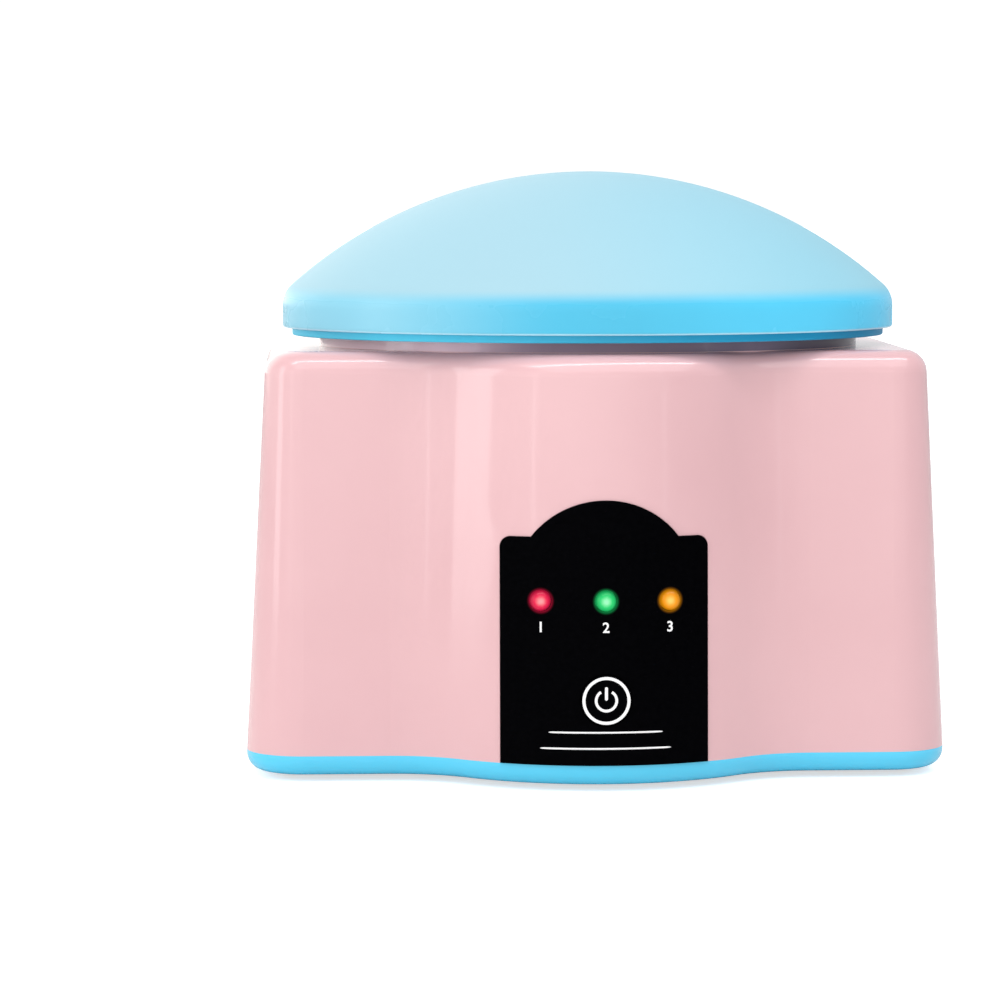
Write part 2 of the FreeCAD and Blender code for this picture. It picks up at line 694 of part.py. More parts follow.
def main_housing():
    """Pink moulded shell: drafted walls, rounded top edge, oval collar and two hinge lugs."""
    lip_top = "(%s + lip_height)" % SEAM
    ceiling = "(housing_top - housing_wall)"
    outside = plan_solid("housing_outside", SEAM, "housing_top", "0")
    round_rim(outside, "housing_top_round", "housing_top", "top_edge_round")
    inside = plan_solid("housing_inside", SEAM, ceiling, "housing_wall")
    kept = []
    for count, (x, y) in enumerate(POSTS):
        kept.append(cylinder("post_%d" % count, "post_radius", "post_height", x, y, lip_top))
        low, high = ("-housing_half_width", x) if x.startswith("-") else (x, "housing_half_width")
        kept.append(
            box(
                "post_rib_%d" % count,
                low,
                high,
                "%s - rib_thickness / 2" % y,
                "%s + rib_thickness / 2" % y,
                lip_top,
                "%s + post_height" % lip_top,
            )
        )
    for count, (x, z) in enumerate(BOARD_SCREWS):
        kept.append(
            cylinder(
                "board_post_%d" % count,
                "board_post_radius",
                "%s - %s" % (HOUSING_BACK, BOARD_FRONT),
                x,
                "-" + HOUSING_BACK,
                z,
                along="y",
            )
        )
    kept.append(
        box(
            "jack_pad_block",
            "%s - jack_recess_half - housing_wall" % JACK_X,
            "%s + jack_recess_half + housing_wall" % JACK_X,
            "%s - jack_pad" % JACK_FACE,
            HOUSING_BACK,
            "jack_z - jack_recess_half - housing_wall",
            "jack_z + jack_recess_half + housing_wall",
        )
    )
    cavity = cut("housing_cavity", inside, kept)
    lugs = []
    for side, sign in SIDES.items():
        inner = "(knuckle_half_length + loose_fit)"
        start = inner if not sign else "-(%s + lug_length)" % inner
        lugs.append(
            cylinder(
                "lug_round_" + side,
                "knuckle_radius",
                "lug_length",
                start,
                HINGE_Y,
                HINGE_Z,
                "x",
            )
        )
        end = "%s + lug_length" % start
        back = "%s + knuckle_radius / 2" % HINGE_Y
        wall = "%s - draft_inset - housing_wall" % HOUSING_BACK
        foot = "housing_top - 2 * top_edge_round"
        lugs.append(
            box("lug_neck_" + side, start, end, "%s - knuckle_radius" % HINGE_Y, back, foot, HINGE_Z)
        )
        lugs.append(box("lug_foot_" + side, start, end, wall, back, foot, "housing_top"))
    lug_foot_trim = cut("housing_lugs", fuse("housing_lug_pieces", lugs), cavity)
    collar = oval("collar_outside", "collar_half_length", COLLAR_HALF_DEPTH, ceiling, COLLAR_TOP)
    body = fuse("housing_with_collar", [outside, collar, lug_foot_trim])
    taken = [cavity]
    taken.append(
        oval(
            "collar_inside",
            "collar_half_length - collar_wall",
            "%s - collar_wall" % COLLAR_HALF_DEPTH,
            "housing_top",
            "%s + overcut" % COLLAR_TOP,
        )
    )
    taken.append(
        oval(
            "well_opening",
            "%s + loose_fit" % WELL_HALF_LENGTH,
            "%s + loose_fit" % WELL_HALF_DEPTH,
            "%s - overcut" % ceiling,
            "housing_top + overcut",
        )
    )
    for count, (x, y) in enumerate(POSTS):
        taken.append(
            cylinder("post_pilot_%d" % count, "screw_radius + screw_fit", "screw_length", x, y, lip_top)
        )
    for count, (x, z) in enumerate(BOARD_SCREWS):
        taken.append(
            cylinder(
                "board_pilot_%d" % count,
                "small_screw_radius + screw_fit",
                "small_screw_length",
                x,
                "-%s - small_screw_length" % BOARD_FRONT,
                z,
                along="y",
            )
        )
    taken.append(facing("panel_seat", "slide_fit"))
    for count, x in enumerate(LAMP_X):
        taken.append(
            cylinder(
                "lamp_hole_%d" % count,
                "lamp_rim_radius + loose_fit",
                "bulge_reach",
                x,
                "-" + HOUSING_BACK,
                "lamp_height",
                along="y",
            )
        )
    taken.append(
        cylinder(
            "button_hole",
            "button_radius + loose_fit",
            "bulge_reach",
            "0",
            "-" + HOUSING_BACK,
            "button_height",
            along="y",
        )
    )
    taken.append(
        cylinder(
            "button_flange_seat",
            "button_flange_radius + loose_fit",
            "button_flange + housing_wall",
            "0",
            "-%s" % BUTTON_SEAT,
            "button_height",
            along="y",
        )
    )
    taken.append(
        cylinder(
            "jack_recess",
            "jack_recess_half",
            HOUSING_BACK,
            JACK_X,
            "%s - jack_rim" % JACK_FACE,
            "jack_z",
            along="y",
        )
    )
    taken.append(
        cylinder(
            "jack_hole",
            "jack_barrel_radius + running_fit",
            "2 * jack_pad",
            JACK_X,
            "%s - 2 * jack_pad" % JACK_FACE,
            "jack_z",
            along="y",
        )
    )
    taken.append(
        cylinder(
            "lug_pin_hole",
            "pin_radius + running_fit",
            "2 * (knuckle_half_length + loose_fit + lug_length)",
            "-(knuckle_half_length + loose_fit + lug_length)",
            HINGE_Y,
            HINGE_Z,
            along="x",
        )
    )
    return node("main_housing", cut("housing", body, taken))


def facing(name, grow):
    """The slice between the panel's seat and its face, as wide as the panel plus a clearance."""
    beyond = plan_solid(name + "_outside", SEAM, "housing_top", "(0 - panel_proud)")
    behind = plan_solid(name + "_floor", SEAM, "housing_top", "panel_recess")
    outline = panel_profile(name + "_outline", grow, HOUSING_BACK + " + overcut")
    return common(name, outline, cut(name + "_skin", beyond, behind))


def control_panel():
    """Glossy black facing that follows the bulge, with holes for the lamps and the button."""
    taken = []
    for count, x in enumerate(LAMP_X):
        taken.append(
            cylinder(
                "panel_lamp_hole_%d" % count,
                "lamp_radius + slide_fit",
                "bulge_reach",
                x,
                "-" + HOUSING_BACK,
                "lamp_height",
                along="y",
            )
        )
    taken.append(
        cylinder(
            "panel_button_hole",
            "button_radius + slide_fit",
            "bulge_reach",
            "0",
            "-" + HOUSING_BACK,
            "button_height",
            along="y",
        )
    )
    return node("control_panel", cut("panel", facing("panel_plate", "0"), taken))


# ---------------------------------------------------------------- base

def base_tray():
    """Blue tray that closes the bottom: rounded lower edge, inner lip, screw posts, foot seats."""
    lip_top = "(%s + lip_height)" % SEAM
    outside = plan_solid("tray_outside", "foot_drop", SEAM, "0", drafted=False)
    round_rim(outside, "tray_round", "foot_drop", "tray_edge_round")
    lip = plan_solid("tray_lip", SEAM, lip_top, "(housing_wall + slide_fit)")
    hollow = plan_solid(
        "tray_hollow",
        "foot_drop + tray_floor",
        "%s + overcut" % lip_top,
        "(housing_wall + slide_fit + lip_wall)",
        drafted=False,
    )
    posts = [
        cylinder(
            "tray_post_%d" % count, "post_radius", "%s - foot_drop" % lip_top, x, y, "foot_drop"
        )
        for count, (x, y) in enumerate(POSTS)
    ]
    emptied = cut("tray_emptied", fuse("tray_blank", [outside, lip]), hollow)
    joined = fuse("tray_with_posts", [emptied] + posts)
    taken = []
    for count, (x, y) in enumerate(POSTS):
        taken.append(
            cylinder(
                "tray_screw_hole_%d" % count, "screw_radius + loose_fit", "%s + overcut" % lip_top, x, y
            )
        )
        taken.append(
            cylinder(
                "tray_head_hole_%d" % count,
                "screw_head_radius + loose_fit",
                SEAM,
                x,
                y,
            )
        )
    for count, (x, y) in enumerate(FEET):
        taken.append(
            cylinder(
                "foot_seat_%d" % count, "foot_radius + slide_fit", "foot_drop + foot_sink", x, y
            )
        )
    return node("base_tray", cut("tray", joined, taken))


def base_screws():
    """Four screws that pull the tray up to the housing's posts."""
    screws = [
        screw(
            "base_screw_%d" % count,
            "screw_radius",
            "screw_head_radius",
            "screw_head_height",
            "screw_length",
            x,
            y,
            SEAM,
        )
        for count, (x, y) in enumerate(POSTS)
    ]
    return node("base_screws", group("base_screw_set", screws))


def rubber_feet():
    """Four rubber discs pressed into seats under the tray."""
    for count, (x, y) in enumerate(FEET):
        foot = cylinder("foot_%d" % (count + 1), "foot_radius", "foot_drop + foot_sink", x, y)
        node("rubber_foot_%d" % (count + 1), foot)


# ---------------------------------------------------------------- lamps, button and board

def lamps():
    """Three round indicator lamps whose leads stand on the board."""
    for count, x in enumerate(LAMP_X):
        tip = lamp_tip(x)
        name = "lamp_%d" % (count + 1)
        dome = doc.addObject("Part::Sphere", name + "_dome")
        bind(dome, Radius="lamp_radius")
        put(dome, x, "%s + lamp_radius" % tip, "lamp_height")
        barrel = cylinder(
            name + "_barrel",
            "lamp_radius",
            "lamp_length - lamp_radius",
            x,
            "%s + lamp_radius" % tip,
            "lamp_height",
            along="y",
        )
        rim = cylinder(
            name + "_rim",
            "lamp_rim_radius",
            "lamp_rim",
            x,
            "%s + lamp_length - lamp_rim" % tip,
            "lamp_height",
            along="y",
        )
        leads = [
            box(
                "%s_lead_%s" % (name, side),
                "%s %s lamp_lead_x - lamp_lead / 2" % (x, sign),
                "%s %s lamp_lead_x + lamp_lead / 2" % (x, sign),
                "%s + lamp_length - lamp_rim" % tip,
                "-%s" % BOARD_FRONT,
                "lamp_height - lamp_lead / 2",
                "lamp_height + lamp_lead / 2",
            )
            for side, sign in (("left", "-"), ("right", "+"))
        ]
        node("indicator_lamp_%d" % (count + 1), fuse(name, [dome, barrel, rim] + leads))


def power_button():
    """Round button: its cap shows through the panel, its flange keeps it in, its post works the switch."""
    face = "-%s" % bulge_face("button_height", "panel_proud + button_show")
    cap = cylinder(
        "button_cap",
        "button_radius",
        "-%s - (%s) + button_flange" % (BUTTON_SEAT, face),
        "0",
        face,
        "button_height",
        along="y",
    )
    flange = cylinder(
        "button_rim",
        "button_flange_radius",
        "button_flange",
        "0",
        "-%s + slide_fit" % BUTTON_SEAT,
        "button_height",
        along="y",
    )
    post = cylinder(
        "button_post",
        "button_post_radius",
        "%s - %s - plunger_gap" % (BUTTON_SEAT, PLUNGER_TIP),
        "0",
        "-%s" % BUTTON_SEAT,
        "button_height",
        along="y",
    )
    return node("power_button", fuse("button", [cap, flange, post]))


def tact_switch():
    """Small square push switch on the board, and the plunger that moves in it."""
    half = "switch_side / 2"
    case = box(
        "switch_case",
        "-" + half,
        half,
        "-%s - switch_height" % BOARD_FRONT,
        "-%s" % BOARD_FRONT,
        "button_height - " + half,
        "button_height + " + half,
    )
    well = cylinder(
        "switch_well",
        "plunger_radius + running_fit",
        "plunger_well",
        "0",
        "-%s - switch_height" % BOARD_FRONT,
        "button_height",
        along="y",
    )
    node("tact_switch", cut("switch", case, well))
    plunger = cylinder(
        "plunger",
        "plunger_radius",
        "plunger_height + plunger_well - button_travel - plunger_gap",
        "0",
        "-%s" % PLUNGER_TIP,
        "button_height",
        along="y",
    )
    node("switch_plunger", plunger)


def control_board():
    """Green board that carries the lamps, switch, buzzer and power parts, and its screws."""
    sheet_of_board = box(
        "board_blank",
        "-board_half_width",
        "board_half_width",
        "-%s" % BOARD_FRONT,
        "-%s" % BOARD_BACK,
        "board_bottom",
        "board_top",
    )
    holes = [
        cylinder(
            "board_hole_%d" % count,
            "small_screw_radius + slide_fit",
            "2 * board_thickness",
            x,
            "-%s - board_thickness / 2" % BOARD_FRONT,
            z,
            along="y",
        )
        for count, (x, z) in enumerate(BOARD_SCREWS)
    ]
    node("control_board", cut("board", sheet_of_board, holes))
    screws = [
        screw(
            "board_screw_%d" % count,
            "small_screw_radius",
            "small_head_radius",
            "small_head_height",
            "small_screw_length",
            x,
            "-%s" % BOARD_BACK,
            z,
            along="y",
            towards=-1,
        )
        for count, (x, z) in enumerate(BOARD_SCREWS)
    ]
    node("board_screws", group("board_screw_set", screws))
    buzzer = cylinder(
        "buzzer_can", "buzzer_radius", "buzzer_height", "-buzzer_x", "-%s" % BOARD_BACK, "buzzer_z", "y"
    )
    port = cylinder(
        "buzzer_port",
        "buzzer_port_radius",
        "buzzer_port_depth",
        "-buzzer_x",
        "-%s + buzzer_height - buzzer_port_depth" % BOARD_BACK,
        "buzzer_z",
        "y",
    )
    node("buzzer", cut("buzzer_part", buzzer, port))
    node(
        "capacitor",
        cylinder(
            "capacitor_can",
            "capacitor_radius",
            "capacitor_height",
            "capacitor_x",
            "-%s" % BOARD_BACK,
            "capacitor_z",
            "y",
        ),
    )
    node(
        "power_transistor",
        box(
            "transistor_case",
            "-transistor_width / 2",
            "transistor_width / 2",
            "-%s" % BOARD_BACK,
            "-%s + transistor_depth" % BOARD_BACK,
            "%s - transistor_height" % TRANSISTOR_TOP,
            TRANSISTOR_TOP,
        ),
    )
    shell = box(
        "header_shell",
        "-header_width / 2",
        "header_width / 2",
        "-%s" % BOARD_BACK,
        "-%s + header_height" % BOARD_BACK,
        "header_z - header_depth / 2",
        "header_z + header_depth / 2",
    )
    node("wire_header", shell)


# ---------------------------------------------------------------- supply jack

def supply_jack():
    """Round low-voltage socket through the back wall, held by a nut inside."""
    seat = "(%s - jack_rim)" % JACK_FACE
    barrel = cylinder(
        "jack_barrel",
        "jack_barrel_radius",
        "jack_length",
        JACK_X,
        "%s - jack_length" % seat,
        "jack_z",
        "y",
    )
    rim = cylinder("jack_rim_disc", "jack_rim_radius", "jack_rim", JACK_X, seat, "jack_z", "y")
    bore = cylinder(
        "jack_bore",
        "jack_bore_radius",
        "jack_bore_depth + overcut",
        JACK_X,
        "%s - jack_bore_depth" % JACK_FACE,
        "jack_z",
        "y",
    )
    pin = cylinder(
        "jack_pin",
        "jack_pin_radius",
        "jack_pin_depth",
        JACK_X,
        "%s - jack_bore_depth" % JACK_FACE,
        "jack_z",
        "y",
    )
    tabs = [
        box(
            "jack_tab_" + side,
            "%s %s jack_tab_x - jack_tab_thickness / 2" % (JACK_X, sign),
            "%s %s jack_tab_x + jack_tab_thickness / 2" % (JACK_X, sign),
            "%s - jack_length - jack_tab" % seat,
            "%s - jack_length" % seat,
            "jack_z - jack_tab_width / 2",
            "jack_z + jack_tab_width / 2",
        )
        for side, sign in (("left", "-"), ("right", "+"))
    ]
    emptied = cut("jack_emptied", fuse("jack_blank", [barrel, rim]), bore)
    node("supply_jack", fuse("jack", [emptied, pin] + tabs))
    blank = doc.addObject("Part::Prism", "nut_blank")
    blank.Polygon = 6
    blank.Placement.Rotation = TURNED["y"]
    bind(blank, Circumradius="jack_nut_radius", Height="jack_nut_height")
    put(blank, JACK_X, "%s - jack_pad - jack_nut_height" % JACK_FACE, "jack_z")
    hole = cylinder(
        "nut_hole",
        "jack_barrel_radius + running_fit",
        "jack_nut_height + 2 * overcut",
        JACK_X,
        "%s - jack_pad - jack_nut_height - overcut" % JACK_FACE,
        "jack_z",
        "y",
    )
    node("jack_nut", cut("nut", blank, hole))


# ---------------------------------------------------------------- chamber and heater

def steam_well():
    """Oval tub that hangs in the collar; the heater closes the opening in its floor."""
    flange = oval(
        "well_flange_disc",
        "collar_half_length - collar_wall - loose_fit",
        "%s - collar_wall - loose_fit" % COLLAR_HALF_DEPTH,
        "housing_top",
        PLATE_BOTTOM,
    )
    outside = oval(
        "well_outside",
        WELL_HALF_LENGTH,
        WELL_HALF_DEPTH,
        WELL_UNDERSIDE,
        "housing_top + well_flange / 2",
    )
    posts = [
        cylinder(
            "well_post_" + side,
            "well_post_radius",
            "%s - %s + well_wall / 2" % (WELL_UNDERSIDE, STRAP_TOP),
            "%sstrap_screw_x" % sign,
            "ptc_y",
            STRAP_TOP,
        )
        for side, sign in SIDES.items()
    ]
    inside = oval(
        "well_inside",
        "%s - well_wall" % WELL_HALF_LENGTH,
        "%s - well_wall" % WELL_HALF_DEPTH,
        "well_floor_height",
        "%s + overcut" % PLATE_BOTTOM,
    )
    opening = cylinder(
        "well_heater_opening",
        "heater_opening_radius",
        "well_wall + 2 * overcut",
        z="%s - overcut" % WELL_UNDERSIDE,
    )
    pilots = [
        cylinder(
            "well_pilot_" + side,
            "small_screw_radius + screw_fit",
            "strap_screw_length",
            "%sstrap_screw_x" % sign,
            "ptc_y",
            "%s - strap_thickness" % STRAP_TOP,
        )
        for side, sign in SIDES.items()
    ]
    blank = fuse("well_blank", [flange, outside] + posts)
    node("steam_well", cut("well", blank, [inside, opening] + pilots))


def heater():
    """Heater plate with its seal, element, insulation, strap, screws, thermostat and fuse."""
    ring = cylinder("seal_ring_outer", "heater_plate_radius", "heater_seal_height", z=HEATER_TOP)
    gap = cylinder(
        "seal_ring_gap",
        "heater_opening_radius",
        "heater_seal_height + 2 * overcut",
        z="%s - overcut" % HEATER_TOP,
    )
    node("heater_seal", cut("seal_ring", ring, gap))

    plate = cylinder("heater_disc", "heater_plate_radius", "heater_plate_thickness", z=HEATER_UNDERSIDE)
    pad = cylinder(
        "heater_pad",
        "heater_opening_radius - loose_fit",
        "%s - %s" % (DISH_BOTTOM, HEATER_UNDERSIDE),
        z=HEATER_UNDERSIDE,
    )
    ear_holes = [
        cylinder(
            "heater_ear_hole_" + side,
            "small_screw_radius + screw_fit",
            "heater_plate_thickness",
            "%sthermostat_ear_x" % sign,
            "thermostat_y",
            HEATER_UNDERSIDE,
        )
        for side, sign in SIDES.items()
    ]
    node("heater_plate", cut("heater_plate_part", fuse("heater_blank", [plate, pad]), ear_holes))

    def slab(name, low, high, grow="0"):
        return box(
            name,
            "-ptc_length / 2 - %s" % grow,
            "ptc_length / 2 + %s" % grow,
            "ptc_y - ptc_width / 2 - %s" % grow,
            "ptc_y + ptc_width / 2 + %s" % grow,
            low,
            high,
        )

    ptc_low = "%s - ptc_height" % HEATER_UNDERSIDE
    node("heater_element", slab("ptc_block", ptc_low, HEATER_UNDERSIDE))
    node("insulation_pad", slab("insulation_block", STRAP_TOP, ptc_low, "insulation_margin"))

    strap = box(
        "strap_strip",
        "-strap_screw_x - well_post_radius",
        "strap_screw_x + well_post_radius",
        "ptc_y - strap_width / 2",
        "ptc_y + strap_width / 2",
        "%s - strap_thickness" % STRAP_TOP,
        STRAP_TOP,
    )
    strap_holes = [
        cylinder(
            "strap_hole_" + side,
            "small_screw_radius + slide_fit",
            "2 * strap_thickness",
            "%sstrap_screw_x" % sign,
            "ptc_y",
            "%s - 1.5 * strap_thickness" % STRAP_TOP,
        )
        for side, sign in SIDES.items()
    ]
    node("heater_strap", cut("strap", strap, strap_holes))
    strap_screws = [
        screw(
            "strap_screw_" + side,
            "small_screw_radius",
            "small_head_radius",
            "small_head_height",
            "strap_screw_length",
            "%sstrap_screw_x" % sign,
            "ptc_y",
            "%s - strap_thickness" % STRAP_TOP,
        )
        for side, sign in SIDES.items()
    ]
    node("strap_screws", group("strap_screw_set", strap_screws))

    can = cylinder(
        "thermostat_can",
        "thermostat_radius",
        "thermostat_height",
        y="thermostat_y",
        z="%s - thermostat_height" % HEATER_UNDERSIDE,
    )
    ears = [
        cylinder(
            "thermostat_ear_" + side,
            "thermostat_ear_radius",
            "thermostat_ear",
            "%sthermostat_ear_x" % sign,
            "thermostat_y",
            "%s - thermostat_ear" % HEATER_UNDERSIDE,
        )
        for side, sign in SIDES.items()
    ]
    bridge = box(
        "thermostat_bridge",
        "-thermostat_ear_x",
        "thermostat_ear_x",
        "thermostat_y - thermostat_ear_radius",
        "thermostat_y + thermostat_ear_radius",
        "%s - thermostat_ear" % HEATER_UNDERSIDE,
        HEATER_UNDERSIDE,
    )
    holes = [
        cylinder(
            "thermostat_hole_" + side,
            "small_screw_radius + slide_fit",
            "3 * thermostat_ear",
            "%sthermostat_ear_x" % sign,
            "thermostat_y",
            "%s - 2 * thermostat_ear" % HEATER_UNDERSIDE,
        )
        for side, sign in SIDES.items()
    ]
    node("thermostat", cut("thermostat_part", fuse("thermostat_blank", [can, bridge] + ears), holes))
    thermostat_screws = [
        screw(
            "thermostat_screw_" + side,
            "small_screw_radius",
            "small_head_radius",
            "small_head_height",
            "thermostat_ear + heater_plate_thickness - loose_fit",
            "%sthermostat_ear_x" % sign,
            "thermostat_y",
            "%s - thermostat_ear" % HEATER_UNDERSIDE,
        )
        for side, sign in SIDES.items()
    ]
    node("thermostat_screws", group("thermostat_screw_set", thermostat_screws))
    node(
        "thermal_fuse",
        cylinder(
            "fuse_can",
            "fuse_radius",
            "fuse_length",
            "-fuse_length / 2",
            "fuse_y",
            "%s - fuse_radius - rest_gap" % HEATER_UNDERSIDE,
            "x",
        ),
    )


def evaporating_dish():
    """Shallow metal cup for the remover, standing on the heater's pad."""
    cup = cylinder("dish_outside", "dish_radius", "dish_height", z=DISH_BOTTOM)
    hollow = cylinder(
        "dish_hollow", "dish_radius - dish_wall", "dish_height", z="%s + dish_wall" % DISH_BOTTOM
    )
    node("evaporating_dish", cut("dish", cup, hollow))


def finger_plate():
    """Oval plate on the well's flange, with five holes in the arc of a hand, and their sleeves."""
    blank = oval(
        "plate_blank",
        "collar_half_length - collar_wall - loose_fit",
        "%s - collar_wall - loose_fit" % COLLAR_HALF_DEPTH,
        PLATE_BOTTOM,
        PLATE_TOP,
    )
    holes = [
        cylinder(
            "finger_hole_%d" % count,
            FINGER_HOLE,
            "plate_thickness + 2 * overcut",
            x,
            y,
            "%s - overcut" % PLATE_BOTTOM,
        )
        for count, (x, y) in enumerate(zip(FINGER_X, FINGER_Y))
    ]
    node("finger_plate", cut("plate", blank, holes))
    for count, (x, y) in enumerate(zip(FINGER_X, FINGER_Y), start=1):
        name = "sleeve_%d" % count
        outer = "(%s - loose_fit)" % FINGER_HOLE
        tube = cylinder(name + "_tube", outer, "sleeve_depth", x, y, "%s - sleeve_depth" % PLATE_TOP)
        rim = cylinder(name + "_rim", "%s + sleeve_lip" % FINGER_HOLE, "sleeve_flange", x, y, PLATE_TOP)
        way = cylinder(
            name + "_way",
            "%s - sleeve_wall" % outer,
            "sleeve_depth + sleeve_flange + 2 * overcut",
            x,
            y,
            "%s - sleeve_depth - overcut" % PLATE_TOP,
        )
        node("finger_sleeve_%d" % count, cut(name, fuse(name + "_blank", [tube, rim]), way))


def cover_seal():
    """Silicone ring on top of the collar."""
    outer = oval("seal_outside", "collar_half_length", COLLAR_HALF_DEPTH, COLLAR_TOP, SEAL_TOP)
    inner = oval(
        "seal_inside",
        "collar_half_length - collar_wall",
        "%s - collar_wall" % COLLAR_HALF_DEPTH,
        "%s - overcut" % COLLAR_TOP,
        "%s + overcut" % SEAL_TOP,
    )
    node("cover_seal", cut("seal", outer, inner))


# ---------------------------------------------------------------- cover and hinge

def dome(name, inward):
    """The ellipsoid whose cap is the cover's dome, moved in by a wall."""
    shape = doc.addObject("Part::Ellipsoid", name)
    bind(
        shape,
        Radius1="%s - %s" % (DOME_RADIUS, inward),
        Radius2="%s - %s" % (DOME_RADIUS, inward),
        Radius3="%s * %s - %s" % (DOME_RADIUS, COVER_RATIO, inward),
    )
    return put(shape, z="%s - %s" % (COVER_TOP, DOME_RADIUS))


def cover():
    """Blue domed cover with a straight band and a hinge knuckle, and the liner inside it."""
    ceiling = "%s + overcut" % COVER_TOP
    column = oval("cover_column", COVER_HALF_LENGTH, "cover_half_depth", COVER_BOTTOM, ceiling)
    hollow_column = oval(
        "cover_hollow_column",
        "%s - cover_wall" % COVER_HALF_LENGTH,
        "cover_half_depth - cover_wall",
        "%s - overcut" % COVER_BOTTOM,
        ceiling,
    )
    sharp = common("cover_outside", column, dome("dome_outside", "0"))
    band_top = "%s + cover_band" % COVER_BOTTOM
    outside = round_shoulder("cover_rounded", sharp, band_top, "cover_shoulder")
    inside = common("cover_inside", hollow_column, dome("dome_inside", "cover_wall"))
    knuckle = cylinder(
        "knuckle",
        "knuckle_radius",
        "2 * knuckle_half_length",
        "-knuckle_half_length",
        HINGE_Y,
        HINGE_Z,
        "x",
    )
    web = box(
        "knuckle_web",
        "-knuckle_half_length",
        "knuckle_half_length",
        "cover_half_depth - cover_wall",
        HINGE_Y,
        COVER_BOTTOM,
        "%s + knuckle_radius" % HINGE_Z,
    )
    pin_way = cylinder(
        "knuckle_hole",
        "pin_radius + running_fit",
        "2 * (knuckle_half_length + overcut)",
        "-knuckle_half_length - overcut",
        HINGE_Y,
        HINGE_Z,
        "x",
    )
    shell = cut("cover_shell_blank", fuse("cover_solid", [outside, knuckle, web]), [inside, pin_way])
    node("cover_shell", shell)

    reach_x = "%s - cover_wall - slide_fit" % COVER_HALF_LENGTH
    reach_y = "cover_half_depth - cover_wall - slide_fit"
    bottom = "%s - liner_drop" % COVER_BOTTOM
    shelf_low = "(%s + rest_gap)" % SEAL_TOP
    skirt = oval("liner_outside", reach_x, reach_y, bottom, "%s + liner_shelf" % shelf_low)
    below = oval(
        "liner_below",
        "%s - liner_wall" % reach_x,
        "%s - liner_wall" % reach_y,
        "%s - overcut" % bottom,
        shelf_low,
    )
    through = oval(
        "liner_through",
        "%s - liner_shelf_width" % reach_x,
        "%s - liner_shelf_width" % reach_y,
        "%s - overcut" % bottom,
        "%s + liner_shelf + overcut" % shelf_low,
    )
    node("cover_liner", cut("liner", skirt, [below, through]))


def hinge_pin():
    """Steel pin through both lugs and the cover's knuckle."""
    half = "(knuckle_half_length + loose_fit + lug_length)"
    node(
        "hinge_pin",
        cylinder("pin", "pin_radius", "2 * %s" % half, "-%s" % half, HINGE_Y, HINGE_Z, "x"),
    )


# ---------------------------------------------------------------- wiring

def wiring():
    """Insulated wires: jack to board, and board to the heater element."""
    header_y = "(-%s + header_height)" % BOARD_BACK
    turn_y = "(%s + wire_lead_in)" % header_y
    jack_y = "(%s - jack_rim - jack_length - jack_tab)" % JACK_FACE
    supply = [
        wire(
            "supply_wire_" + side,
            [
                ("%s %s jack_tab_x" % (JACK_X, sign), jack_y, "jack_z"),
                ("%s %s jack_tab_x" % (JACK_X, sign), "%s / 2" % jack_y, "jack_z"),
                ("supply_wire_x %s wire_pair_x" % sign, turn_y, "header_z"),
                ("supply_wire_x %s wire_pair_x" % sign, header_y, "header_z"),
            ],
        )
        for side, sign in (("left", "-"), ("right", "+"))
    ]
    node("supply_wires", group("supply_wire_set", supply))
    element_z = "%s - ptc_height / 2" % HEATER_UNDERSIDE
    feed = [
        wire(
            "heater_wire_" + side,
            [
                ("-heater_wire_x %s wire_pair_x" % sign, header_y, "header_z"),
                ("-heater_wire_x %s wire_pair_x" % sign, turn_y, "header_z"),
                ("-element_wire_x %s wire_pair_x" % sign, turn_y, element_z),
                ("-element_wire_x %s wire_pair_x" % sign, "ptc_y - ptc_width / 2", element_z),
            ],
        )
        for side, sign in (("left", "-"), ("right", "+"))
    ]
    node("heater_wires", group("heater_wire_set", feed))


main_housing()
control_panel()
base_tray()
base_screws()
rubber_feet()
lamps()
power_button()
tact_switch()
control_board()
supply_jack()
steam_well()
heater()
evaporating_dish()
finger_plate()
cover_seal()
cover()
hinge_pin()
wiring()

doc.recompute()

# ---------------------------------------------------------------- checks and files

for thing in doc.Objects:
    bad = {"Invalid", "Error"} & set(thing.State)
    if bad:
        raise RuntimeError("%s is %s" % (thing.Name, ", ".join(sorted(bad))))
for thing in NODES:
    if thing.Shape.isNull() or not thing.Shape.isValid() or not thing.Shape.Solids:
        raise RuntimeError("%s has no valid solid" % thing.Label)
os.makedirs("parts", exist_ok=True)
for thing in NODES:
    thing.Shape.exportStep(os.path.join("parts", thing.Label + ".step"))
    extent = thing.Shape.optimalBoundingBox(True, False)
    print(
        "%-20s solids %d volume %9.1f  x %.1f %.1f  y %.1f %.1f  z %.1f %.1f"
        % (
            thing.Label,
            len(thing.Shape.Solids),
            thing.Shape.Volume,
            extent.XMin,
            extent.XMax,
            extent.YMin,
            extent.YMax,
            extent.ZMin,
            extent.ZMax,
        )
    )
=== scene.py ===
import math

import bmesh
import bpy
import numpy as np
from mathutils import Matrix, Vector


